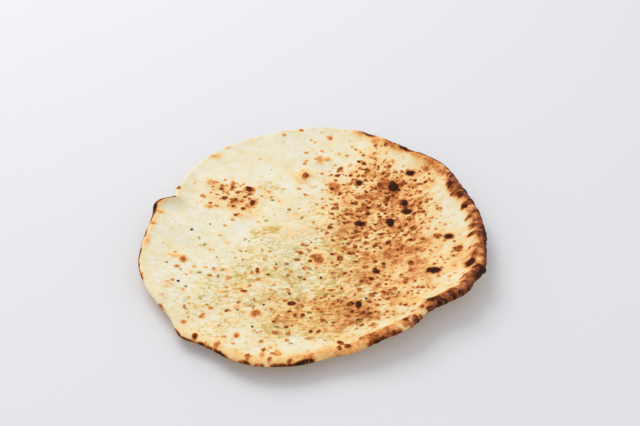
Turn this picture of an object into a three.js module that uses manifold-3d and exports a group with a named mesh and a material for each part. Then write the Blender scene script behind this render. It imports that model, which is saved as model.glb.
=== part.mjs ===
// A large naan from the clay oven: one thin, uneven round of leavened dough. It lies flat in the middle, its
// edge curls up all round, and its right side puffs into a thick rim. Blisters, herb flakes and seeds stand
// on its top.
//
// Frame: millimetres, +Z up. The flat spot of the underside lies at z = 0, under the middle of the naan's box.
// Angles are in degrees about the middle, counter-clockwise seen from above, with 0 along +X.

import * as THREE from "three";
import { mergeVertices } from "three/addons/utils/BufferGeometryUtils.js";
import Module from "manifold-3d";

const wasm = await Module();
wasm.setup();

// ---------------------------------------------------------------- Driving dimensions

const MEAN_RADIUS = 155; // middle to edge, before the swells of the outline
const DOUGH_THICKNESS = 5; // of the bread inside its rim

// Where the outline swells or draws in: at an angle, over a width, by so many millimetres.
const OUTLINE = [
  { at: -4, width: 25, by: 10 }, // full right side
  { at: 35, width: 11, by: 7 }, // shoulder at the back right
  { at: 77, width: 16, by: 7 }, // full back
  { at: 128, width: 18, by: 2 },
  { at: 156, width: 9, by: -4 }, // the stretched edge before the notch
  { at: 163.5, width: 4, by: -8 }, // the notch
  { at: 168, width: 4, by: 6 }, // the turned-up corner beside it
  { at: 197, width: 16, by: 13 }, // full left side
  { at: 216, width: 12, by: 5 },
  { at: 227, width: 6, by: 9 }, // the blunt corner at the front left
  { at: 248, width: 19, by: 11 }, // full front
  { at: 275, width: 7, by: -4 },
  { at: 295, width: 15, by: -6 }, // the side that curls highest, drawn in
  { at: 315, width: 7, by: -6 },
  { at: 330, width: 6, by: 4 }, // two bulges of the puffed rim
  { at: 341, width: 7, by: 6 },
];
const OUTLINE_POWER = 5; // how close to the edge the swells stay: 1 would run them in to the middle

// How far the edge curls up off what the naan lies on, and where it curls more or less.
const EDGE_LIFT = 10;
const EDGE_LIFTS = [
  { at: 10, width: 35, by: 5 },
  { at: 90, width: 40, by: 1 },
  { at: 172, width: 30, by: 6 },
  { at: 305, width: 34, by: 8 },
];
const FLAT_SHARE = 0.38; // the share of the radius within which the bread doesn't curl
const CURL_POWER = 1.9; // how late the curl comes on: 1 is a straight slope
const TURNED_CORNER = { at: 165.5, width: 5.5, by: 6 }; // lifted further than the edge beside it
const CORNER_POWER = 12;

// The edge also waves up and down: so many waves to a turn, by a height, started at an angle.
const EDGE_WAVES = [
  { count: 5, height: 1.3, start: 40 },
  { count: 9, height: 0.8, start: 15 },
];

// The rim's thickness and half its width, both larger where it puffed on the right. Its thickness is lumpy:
// so many lumps to a turn, by a share of the thickness, started at an angle.
const RIM_THICKNESS = 5.4;
const RIM_THICKNESSES = [
  { at: 12, width: 40, by: 5 },
  { at: 60, width: 20, by: 1 },
  { at: 296, width: 16, by: 1.5 },
  { at: 330, width: 30, by: 4 },
];
const RIM_LUMPS = [
  { count: 13, height: 0.05, start: 70 },
  { count: 23, height: 0.05, start: 10 },
  { count: 37, height: 0.06, start: 200 },
];
const RIM_HALF_WIDTH = 3.4;
const RIM_HALF_WIDTHS = [
  { at: 15, width: 42, by: 4 },
  { at: 296, width: 20, by: 1 },
  { at: 335, width: 28, by: 2.5 },
];
const RIM_BLEND = 7; // how far inside its crest the rim sinks into the bread
const RIM_BELLY = 0.38; // the height of its widest line, as a share of its thickness

// The underside touches what it lies on with one flat spot of three corners. Round it the skin baked slightly
// hollow, by so many millimetres, and comes back to the full thickness under the rim.
const FLAT_SPOT = { corners: 3, reach: 50.2 };
const BAKED_HOLLOW = { depth: 0.6, ramp: 8, fadePower: 4 };

// Broad bubbles under the skin: middle, radius and height.
const BUBBLES = [
  { x: -76, y: 58, radius: 27, height: 1.6 },
  { x: -106, y: 75, radius: 13, height: 1.2 },
  { x: -10, y: 89, radius: 14, height: 1.6 },
  { x: 62, y: 62, radius: 30, height: 1.4 },
  { x: 84, y: 27, radius: 22, height: 1.5 },
  { x: 104, y: -50, radius: 20, height: 1.4 },
  { x: 50, y: -50, radius: 18, height: 1.3 },
  { x: -125, y: -31, radius: 14, height: 1.3 },
  { x: 2, y: -24, radius: 16, height: 1.3 },
  { x: -51, y: -97, radius: 15, height: 1.5 },
  { x: 22, y: 20, radius: 24, height: 1.2 },
  { x: 37, y: -87, radius: 17, height: 1.4 },
  { x: 9, y: 112, radius: 15, height: 1.2 },
];

// The small hard blisters, most of them burnt black: middle, half its length along Y, height, and the length
// along X as a share of that along Y.
const CHAR_BLISTERS = [
  { x: 81, y: 71, radius: 6.2, height: 3, stretch: 0.8 }, // the largest, in the most toasted part
  { x: 46, y: 80, radius: 3, height: 1.6, stretch: 0.9 },
  { x: 91, y: 47, radius: 4.2, height: 2.2, stretch: 0.75 },
  { x: 75, y: 22, radius: 4.2, height: 2.3, stretch: 0.85 },
  { x: 45, y: 22, radius: 3.2, height: 1.4, stretch: 1.4 },
  { x: 92, y: 35, radius: 2.8, height: 1.4, stretch: 1.6 },
  { x: 99, y: 88, radius: 2.7, height: 1.5, stretch: 1.5 },
  { x: 130, y: -3, radius: 3, height: 1.5, stretch: 1.2 }, // along the right side
  { x: 112, y: -47, radius: 3.4, height: 2, stretch: 1.6 },
  { x: 146, y: -46, radius: 4.8, height: 2.2, stretch: 0.95 },
  { x: 59, y: -43, radius: 2.8, height: 1.3, stretch: 1 },
  { x: 41, y: -87, radius: 4, height: 1.6, stretch: 0.65 },
  { x: -62, y: 50, radius: 4.2, height: 1.6, stretch: 0.65 }, // the three browned ones at the left
  { x: -65, y: 68, radius: 3.4, height: 1.6, stretch: 1 },
  { x: -79, y: 52, radius: 3.6, height: 1.5, stretch: 0.75 },
];
const BLISTER_SUNK = 0.1; // how far a blister's middle lies under the skin, as a share of its height

// The herb flakes and dark seeds large enough to see from a step away, strewn most thickly about one spot.
const STREWN_MIDDLE = { x: -18, y: -46 };
const STREWN_SPREAD = { x: 62, y: 52 };
const STREWN_CLEARANCE = 9; // least distance between two of them, or from one to a burnt blister
const STREWN_REACH_SHARE = 0.88; // none lies nearer the edge than this share of its radius
const STREWN_TAIL = 0.1; // the share of draws, the farthest out, that is never used
const STREWN_SIZES = { least: 0.75, most: 1.25 }; // times the kind's own size
const STREWN_COUNT = 56;
const SEED_EVERY = 4; // one in so many is a seed
const HERB_FLAKE = { length: 4.2, width: 2.1, thickness: 1, sunk: 0.15 };
const DARK_SEED = { length: 2.8, width: 1.8, thickness: 1.5, sunk: 0.2 };

// How finely the surface is divided.
const TOP_RINGS = 24;
const UNDER_RINGS = 14;
const RIM_POINTS = 240; // round the edge
const RIM_ROWS = 4; // round the edge's cross-section, from its crest to its underside
const RIM_ROW_SHARES = [0.938, 0.972]; // where the rows inside the crest run, as shares of the way out to it
const EVEN_SHARE = 0.9; // out to which the rings are evenly spaced
const DOME = { sides: 10, rows: 6 }; // of a burnt blister
const MERGE_DISTANCE = 1e-4;

// ---------------------------------------------------------------- Small sums

const RADIANS = Math.PI / 180;
const SHARE_STEP = 0.005; // to each side, where a slope is taken from two places
const ANGLE_STEP = 0.01;
const WIDEST_SHARE = 1.1;
const HALVINGS = 30;

// A bell about an angle: 1 there, and near 0 more than two widths away.
function angularBell(angle, { at, width }) {
  const apart = Math.atan2(Math.sin(angle - at * RADIANS), Math.cos(angle - at * RADIANS));
  return Math.exp(-((apart / (width * RADIANS)) ** 2));
}

// A value round the naan: a base, plus each lobe's bell times its height.
function roundTheEdge(base, lobes, angle) {
  return lobes.reduce((sum, lobe) => sum + lobe.by * angularBell(angle, lobe), base);
}

// The sum of some waves round the naan.
function waves(list, angle) {
  const one = ({ count, height, start }) => height * Math.cos(count * (angle - start * RADIANS));
  return list.reduce((sum, wave) => sum + one(wave), 0);
}

// A repeatable draw between 0 and 1 for the n-th thing of a kind, the same on every run.
function draw(n, kind) {
  const scrambled = Math.sin(n * 12.9898 + kind * 78.233) * 43758.5453;
  return scrambled - Math.floor(scrambled);
}

// ---------------------------------------------------------------- The bread's form

const edgeRadius = (angle) => roundTheEdge(MEAN_RADIUS, OUTLINE, angle);
const edgeLift = (angle) => roundTheEdge(EDGE_LIFT, EDGE_LIFTS, angle);
const rimHalfWidth = (angle) => roundTheEdge(RIM_HALF_WIDTH, RIM_HALF_WIDTHS, angle);
const crestRadius = (angle) => edgeRadius(angle) - rimHalfWidth(angle);

function rimThickness(angle) {
  return roundTheEdge(RIM_THICKNESS, RIM_THICKNESSES, angle) * (1 + waves(RIM_LUMPS, angle));
}

// The radius at a share of the way out to the crest. Near the middle it is a plain circle's.
function radiusAt(share, angle) {
  return MEAN_RADIUS * share + (crestRadius(angle) - MEAN_RADIUS) * share ** OUTLINE_POWER;
}

// How high the underside stands there, before its hollow: flat, then curling up, with the edge's waves and the
// turned-up corner.
function undersideHeight(share, angle) {
  const beyondFlat = Math.max(0, (share - FLAT_SHARE) / (1 - FLAT_SHARE));
  const curl = edgeLift(angle) * beyondFlat ** CURL_POWER;
  const corner = TURNED_CORNER.by * angularBell(angle, TURNED_CORNER) * beyondFlat ** CORNER_POWER;
  return curl + corner + waves(EDGE_WAVES, angle) * beyondFlat ** 2;
}

// The share of the way out at which the radius has a given value, by halving the span that holds it.
function shareAt(radius, angle) {
  let [low, high] = [0, WIDEST_SHARE];
  for (let halving = 0; halving < HALVINGS; halving++) {
    const middle = (low + high) / 2;
    if (radiusAt(middle, angle) < radius) low = middle;
    else high = middle;
  }
  return low;
}

// The underside's slope outwards, in radians, from its height on both sides of the place.
function undersideTilt(share, angle) {
  const [inner, outer] = [share - SHARE_STEP, share + SHARE_STEP];
  const rise = undersideHeight(outer, angle) - undersideHeight(inner, angle);
  return Math.atan2(rise, radiusAt(outer, angle) - radiusAt(inner, angle));
}

// The point that stands off the underside by a height square to it, and further out by a reach along it.
function pointOffUnderside(share, angle, height, reach = 0) {
  const tilt = undersideTilt(share, angle);
  const radius = radiusAt(share, angle) + reach * Math.cos(tilt) - height * Math.sin(tilt);
  return new THREE.Vector3(
    radius * Math.cos(angle),
    radius * Math.sin(angle),
    undersideHeight(share, angle) + reach * Math.sin(tilt) + height * Math.cos(tilt),
  );
}

// How far the skin of the underside is hollow: nothing on the flat spot, and more with the distance outside
// the nearest of its sides.
function bakedHollow(share, angle) {
  const side = Math.PI / FLAT_SPOT.corners;
  const fromCorner = ((angle % (2 * side)) + 2 * side) % (2 * side);
  const outside = radiusAt(share, angle) * Math.cos(fromCorner - side) - FLAT_SPOT.reach * Math.cos(side);
  const ramp = THREE.MathUtils.smoothstep(outside, 0, BAKED_HOLLOW.ramp);
  return BAKED_HOLLOW.depth * ramp * (1 - share ** BAKED_HOLLOW.fadePower);
}

// The bread's thickness: the dough's, the broad bubbles', and what the rim adds close to its crest.
function breadThickness(share, angle) {
  const radius = radiusAt(share, angle);
  const fromCrest = crestRadius(angle) - radius;
  const rim = (rimThickness(angle) - DOUGH_THICKNESS) * Math.exp(-((fromCrest / RIM_BLEND) ** 2));
  const x = radius * Math.cos(angle);
  const y = radius * Math.sin(angle);
  const bubbles = BUBBLES.reduce((sum, bubble) => {
    const apart = Math.hypot(x - bubble.x, y - bubble.y) / bubble.radius;
    return sum + bubble.height * Math.max(0, 1 - apart ** 2) ** 2;
  }, 0);
  return DOUGH_THICKNESS + rim + bubbles;
}

// A point of the rim's rolled edge: turn 1 is the crest on top, 0 the outermost line, -1 the underside.
function rimPoint(turn, angle) {
  const thickness = rimThickness(angle);
  const belly = RIM_BELLY * thickness;
  const share = Math.sin((turn * Math.PI) / 2);
  const height = belly + share * (turn > 0 ? thickness - belly : belly);
  return pointOffUnderside(1, angle, height, rimHalfWidth(angle) * Math.cos((turn * Math.PI) / 2));
}

// ---------------------------------------------------------------- The bread's surface

// A ring of points round the middle, from a function of the angle. A ring of one point is a pole.
function ring(count, pointAt) {
  return Array.from({ length: count }, (_, i) => pointAt((2 * Math.PI * i) / count));
}

// All rings of the closed surface: over the top from the middle, round the rim, and back under to the middle.
function breadRings() {
  const onTop = (share) => (angle) => pointOffUnderside(share, angle, breadThickness(share, angle));
  const underneath = (share) => (angle) => pointOffUnderside(share, angle, bakedHollow(share, angle));
  const rings = [ring(1, onTop(0))];
  for (let k = 1; k <= TOP_RINGS; k++) rings.push(ring(6 * k, onTop((EVEN_SHARE * k) / TOP_RINGS)));
  for (const share of RIM_ROW_SHARES) rings.push(ring(RIM_POINTS, onTop(share)));
  for (let row = 0; row <= RIM_ROWS; row++) {
    rings.push(ring(RIM_POINTS, (angle) => rimPoint(1 - (2 * row) / RIM_ROWS, angle)));
  }
  for (let k = UNDER_RINGS; k >= 1; k--) rings.push(ring(6 * k, underneath((EVEN_SHARE * k) / UNDER_RINGS)));
  rings.push(ring(1, underneath(0)));
  return rings;
}

// The band of triangles between two neighbouring rings, stepping along whichever ring is behind in angle.
function bandBetween(inner, outer) {
  const triangles = [];
  let i = inner.count === 1 ? 1 : 0;
  let j = outer.count === 1 ? 1 : 0;
  while (i < inner.count || j < outer.count) {
    const a = inner.first + (i % inner.count);
    const b = outer.first + (j % outer.count);
    const stepOuter = i >= inner.count || (j < outer.count && (j + 1) * inner.count <= (i + 1) * outer.count);
    if (stepOuter) j++;
    else i++;
    triangles.push(a, b, stepOuter ? outer.first + (j % outer.count) : inner.first + (i % inner.count));
  }
  return triangles;
}

// The rings joined into one closed surface about the middle of the outline.
function breadGeometry() {
  const points = [];
  const spans = breadRings().map((ringPoints) => {
    const first = points.length;
    points.push(...ringPoints);
    return { first, count: ringPoints.length };
  });
  const index = spans.slice(1).flatMap((outer, k) => bandBetween(spans[k], outer));
  return new THREE.BufferGeometry().setFromPoints(points).setIndex(index);
}

// ---------------------------------------------------------------- What stands on the top

// The frame of the top at a place given in x and y: a matrix with its Z square to the surface.
function topFrame(x, y, turn) {
  const angle = Math.atan2(y, x);
  const share = shareAt(Math.hypot(x, y), angle);
  const at = (s, a) => pointOffUnderside(s, a, breadThickness(s, a));
  const outwards = at(share + SHARE_STEP, angle).sub(at(share - SHARE_STEP, angle)).normalize();
  const around = at(share, angle + ANGLE_STEP).sub(at(share, angle - ANGLE_STEP)).normalize();
  const up = outwards.clone().cross(around).normalize();
  const along = new THREE.Vector3(Math.cos(turn), Math.sin(turn), 0).projectOnPlane(up).normalize();
  const across = up.clone().cross(along);
  return new THREE.Matrix4().makeBasis(along, across, up).setPosition(at(share, angle));
}

// A closed rounded lump of the given half sizes, standing on the top with its middle sunk by a depth.
function lumpOnTop(shape, x, y, turn, halfSizes, sunk) {
  return shape
    .clone()
    .scale(halfSizes.x, halfSizes.y, halfSizes.z)
    .translate(0, 0, -sunk)
    .applyMatrix4(topFrame(x, y, turn));
}

// The burnt blisters, each a flattened ball half out of the skin.
function charBlisters() {
  const dome = new THREE.SphereGeometry(1, DOME.sides, DOME.rows).rotateX(Math.PI / 2);
  return CHAR_BLISTERS.map(({ x, y, radius, height, stretch }) => {
    const halfSizes = new THREE.Vector3(radius * stretch, radius, height);
    return lumpOnTop(dome, x, y, 0, halfSizes, BLISTER_SUNK * height);
  });
}

// The places of the strewn flakes and seeds: draws about the strewn middle, kept where they are clear of the
// edge, the burnt blisters and each other.
function strewnPlaces(count) {
  const places = [];
  for (let n = 1; places.length < count; n++) {
    const reach = Math.sqrt(-2 * Math.log(1 - (1 - STREWN_TAIL) * draw(n, 1)));
    const bearing = 2 * Math.PI * draw(n, 2);
    const x = STREWN_MIDDLE.x + STREWN_SPREAD.x * reach * Math.cos(bearing);
    const y = STREWN_MIDDLE.y + STREWN_SPREAD.y * reach * Math.sin(bearing);
    const inside = Math.hypot(x, y) < STREWN_REACH_SHARE * edgeRadius(Math.atan2(y, x));
    const near = (other) => Math.hypot(x - other.x, y - other.y) < STREWN_CLEARANCE;
    if (!inside || [...places, ...CHAR_BLISTERS].some(near)) continue;
    const { least, most } = STREWN_SIZES;
    places.push({ x, y, turn: Math.PI * draw(n, 3), size: least + (most - least) * draw(n, 4) });
  }
  return places;
}

// The flakes and seeds, each a low lump of its kind's size, drawn up to a quarter larger or smaller.
function strewnLumps() {
  const grain = new THREE.IcosahedronGeometry(1, 0);
  return strewnPlaces(STREWN_COUNT).map(({ x, y, turn, size }, i) => {
    const kind = i % SEED_EVERY === 0 ? DARK_SEED : HERB_FLAKE;
    const halfSizes = new THREE.Vector3(kind.length, kind.width, kind.thickness).multiplyScalar(size / 2);
    return lumpOnTop(grain, x, y, turn, halfSizes, kind.sunk);
  });
}

// ---------------------------------------------------------------- Joining

// A closed geometry as a solid, with only its positions kept and shared corners merged.
function solidOf(geometry) {
  const bare = geometry.clone();
  bare.deleteAttribute("normal");
  bare.deleteAttribute("uv");
  const merged = mergeVertices(bare, MERGE_DISTANCE);
  const mesh = new wasm.Mesh({
    numProp: 3,
    vertProperties: merged.attributes.position.array,
    triVerts: new Uint32Array(merged.index.array),
  });
  return new wasm.Manifold(mesh);
}

// A solid as a flat-shaded geometry.
function geometryOf(solid) {
  const { numProp, vertProperties, triVerts } = solid.getMesh();
  const positions = new THREE.InterleavedBuffer(vertProperties, numProp);
  const geometry = new THREE.BufferGeometry()
    .setAttribute("position", new THREE.InterleavedBufferAttribute(positions, 3, 0))
    .setIndex(new THREE.BufferAttribute(triVerts, 1));
  const flat = geometry.toNonIndexed();
  flat.computeVertexNormals();
  return flat;
}

// The bread with everything that stands on it, as one solid over the frame's origin.
function naanGeometry() {
  const bread = breadGeometry();
  bread.computeBoundingBox();
  const middle = bread.boundingBox.getCenter(new THREE.Vector3());
  const lumps = [...charBlisters(), ...strewnLumps()];
  const whole = lumps.reduce((solid, lump) => solid.add(solidOf(lump)), solidOf(bread));
  return geometryOf(whole).translate(-middle.x, -middle.y, -bread.boundingBox.min.z);
}

const naan = new THREE.Mesh(
  naanGeometry(),
  new THREE.MeshStandardMaterial({ color: 0xe8d6a8, roughness: 0.8, metalness: 0 }),
);
naan.name = "naan";

const part = new THREE.Group();
part.name = "naan_bread";
part.add(naan);

export default part;
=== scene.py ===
"""A large naan from the clay oven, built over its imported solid.

The naan is one closed skin in the form of the solid, with blisters, spots and a crimped rim raised on it.
Herb flakes, dark seeds and garlic bits lie on its top as pieces of their own. Sizes in the builders are
millimetres, and angles are degrees, counter-clockwise from +X seen from above. Meshes are metres.
"""

import logging
import math
from dataclasses import dataclass, fields, replace
from enum import Enum
from itertools import product
from typing import Callable, Optional, Sequence, Union

import bpy
import numpy as np
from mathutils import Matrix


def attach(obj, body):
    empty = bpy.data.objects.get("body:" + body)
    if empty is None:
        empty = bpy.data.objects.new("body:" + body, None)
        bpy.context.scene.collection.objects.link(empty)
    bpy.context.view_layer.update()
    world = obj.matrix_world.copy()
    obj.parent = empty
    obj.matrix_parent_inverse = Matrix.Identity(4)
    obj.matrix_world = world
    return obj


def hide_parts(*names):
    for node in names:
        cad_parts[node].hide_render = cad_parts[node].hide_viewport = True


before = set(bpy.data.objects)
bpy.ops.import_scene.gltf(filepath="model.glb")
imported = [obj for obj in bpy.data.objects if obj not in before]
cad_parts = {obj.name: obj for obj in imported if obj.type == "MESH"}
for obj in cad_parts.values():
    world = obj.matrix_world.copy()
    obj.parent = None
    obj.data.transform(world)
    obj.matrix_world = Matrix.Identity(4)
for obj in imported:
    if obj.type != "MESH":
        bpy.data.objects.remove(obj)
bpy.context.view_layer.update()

LOG = logging.getLogger("naan")
MM = 0.001
RADIANS = math.pi / 180

Array = np.ndarray
Socket = bpy.types.NodeSocket
Colour = tuple[float, float, float]


# ---------------------------------------------------------------- Small sums


def srgb(red: int, green: int, blue: int) -> Colour:
    """A colour given as 0 to 255 screen values, as the linear values that shaders take.

    Args:
        red: Screen value of the red channel.
        green: Screen value of the green channel.
        blue: Screen value of the blue channel.

    Returns:
        The three linear values: v / 12.92 near black, else ((v + 0.055) / 1.055) to the power 2.4.
    """
    shares = (red / 255, green / 255, blue / 255)
    return tuple(v / 12.92 if v <= 0.04045 else ((v + 0.055) / 1.055) ** 2.4 for v in shares)


def smooth(value: Array, low: float, high: float) -> Array:
    """The smooth step 3t² - 2t³ of a value from low, where it is 0, to high, where it is 1.

    Args:
        value: Any values.
        low: Where the step starts. It may be above high, and the step then falls.
        high: Where the step ends.

    Returns:
        Values from 0 to 1.
    """
    t = np.clip((value - low) / (high - low), 0.0, 1.0)
    return t * t * (3 - 2 * t)


def strewn_draw(n: int, kind: int) -> float:
    """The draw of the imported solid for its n-th strewn thing: the fraction of a large multiple of a sine,
    sin(12.9898 n + 78.233 kind) times 43758.5453.

    Args:
        n: The thing's number, from 1.
        kind: Which of its draws.

    Returns:
        A number from 0 to 1.
    """
    scrambled = math.sin(n * 12.9898 + kind * 78.233) * 43758.5453
    return scrambled - math.floor(scrambled)


LATTICE_FACTORS = (0x9E3779B97F4A7C15, 0xC2B2AE3D27D4EB4F, 0x165667B19E3779F9)
SEED_FACTOR = 0x27D4EB2F165667C5
MIX_FACTOR = 0xBF58476D1CE4E5B9
MIX_SHIFTS = (29, 32)
WORD_BITS = 64
DRAW_BITS = 24
LAYER_SEED_STEP = 17


def lattice_draw(places: Sequence[Array], seed: int) -> Array:
    """A repeatable draw for whole-number lattice places, by multiplying, adding and mixing the bits.

    Args:
        places: One array of whole numbers for each axis, up to three.
        seed: A whole number, so that each use has draws of its own.

    Returns:
        Numbers from 0 to 1, one to a place.
    """
    mixed = np.full(np.shape(places[0]), (seed * SEED_FACTOR) % 2**WORD_BITS, dtype=np.uint64)
    for place, factor in zip(places, LATTICE_FACTORS):
        mixed = mixed + np.asarray(place).astype(np.int64).astype(np.uint64) * np.uint64(factor)
        mixed ^= mixed >> np.uint64(MIX_SHIFTS[0])
        mixed = mixed * np.uint64(MIX_FACTOR)
        mixed ^= mixed >> np.uint64(MIX_SHIFTS[1])
    return (mixed >> np.uint64(WORD_BITS - DRAW_BITS)).astype(float) / 2**DRAW_BITS


@dataclass(frozen=True)
class Noise:
    """Smooth noise in space: draws at the corners of cubes, blended by smooth steps, in layers of half the
    size and half the height each. size is the edge of the largest cubes in millimetres."""

    size: float
    seed: int
    layers: int

    def at(self, points: Array) -> Array:
        """The noise at places in space.

        Args:
            points: The places, as rows of three millimetre coordinates.

        Returns:
            One number to a place, from about -1 to 1.
        """
        total = np.zeros(len(points))
        height = 1.0
        for layer in range(self.layers):
            scaled = points * (2.0**layer / self.size)
            corner = np.floor(scaled)
            part = scaled - corner
            fade = part * part * (3 - 2 * part)
            value = np.zeros(len(points))
            for step in product((0, 1), repeat=3):
                weight = np.prod(np.where(np.array(step, bool), fade, 1 - fade), axis=1)
                place = [corner[:, i] + step[i] for i in range(3)]
                value += weight * lattice_draw(place, self.seed + LAYER_SEED_STEP * layer)
            total += height * (2 * value - 1)
            height /= 2
        return total

    def on(self, x: Array, y: Array) -> Array:
        """The noise at places on a plane."""
        return self.at(np.stack([x, y, np.zeros_like(x)], axis=-1))


def everywhere(value: float) -> Callable[[Array, Array], Array]:
    """A function of place that has one value everywhere."""
    return lambda x, y: np.full_like(x, value)


# ---------------------------------------------------------------- The bread's form


@dataclass(frozen=True)
class Swell:
    """A bell about an angle round the naan: 1 there and near 0 more than two widths away, times by."""

    at: float
    width: float
    by: float

    def over(self, angle: Array) -> Array:
        """Its value at each angle: by times exp(-(distance / width)²).

        Args:
            angle: Radians.

        Returns:
            The values.
        """
        turn = angle - self.at * RADIANS
        apart = np.arctan2(np.sin(turn), np.cos(turn))
        return self.by * np.exp(-((apart / (self.width * RADIANS)) ** 2))


@dataclass(frozen=True)
class Span:
    """A stretch of the way round from one angle to a larger one, with a smooth ramp at each end."""

    start: float
    end: float
    by: float
    ramp: float = 5.0

    def over(self, angle: Array) -> Array:
        """Its value at each angle: by inside it, and half of that at its start and its end.

        Args:
            angle: Radians.

        Returns:
            The values.
        """
        half = (self.end - self.start) / 2
        turn = angle - (self.start + half) * RADIANS
        apart = np.abs(np.arctan2(np.sin(turn), np.cos(turn))) / RADIANS
        return self.by * smooth(apart, half + self.ramp / 2, half - self.ramp / 2)


@dataclass(frozen=True)
class Wave:
    """So many waves to a turn, by a height, started at an angle."""

    count: int
    height: float
    start: float

    def over(self, angle: Array) -> Array:
        """Its value at each angle in radians."""
        return self.height * np.cos(self.count * (angle - self.start * RADIANS))


@dataclass(frozen=True)
class Bubble:
    """A broad low bubble under the skin: middle, radius and height."""

    x: float
    y: float
    radius: float
    height: float


@dataclass(frozen=True)
class Blister:
    """A small hard blister: middle, half its length along Y, height, its length along X as a share of that
    along Y, and how burnt it is."""

    x: float
    y: float
    radius: float
    height: float
    stretch: float = 1.0
    burnt: float = 1.0


def round_the_edge(base: float, parts: Sequence[Union[Swell, Span, Wave]], angle: Array) -> Array:
    """A base value plus each swell, span or wave over the angles."""
    return sum((part.over(angle) for part in parts), np.full(np.shape(angle), float(base)))


BLISTERS = (
    Blister(81, 71, 6.2, 3, 0.8),
    Blister(46, 80, 3, 1.6, 0.9),
    Blister(91, 47, 4.2, 2.2, 0.75),
    Blister(75, 22, 4.2, 2.3, 0.85),
    Blister(45, 22, 3.2, 1.4, 1.4),
    Blister(92, 35, 2.8, 1.4, 1.6),
    Blister(99, 88, 2.7, 1.5, 1.5),
    Blister(130, -3, 3, 1.5, 1.2),
    Blister(112, -47, 3.4, 2, 1.6),
    Blister(146, -46, 4.8, 2.2, 0.95),
    Blister(59, -43, 2.8, 1.3),
    Blister(41, -87, 4, 1.6, 0.65),
    Blister(-62, 50, 4.2, 1.6, 0.65, 0.0),
    Blister(-65, 68, 3.4, 1.6, 1.0, 0.0),
    Blister(-79, 52, 3.6, 1.5, 0.75, 0.0),
)


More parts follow.
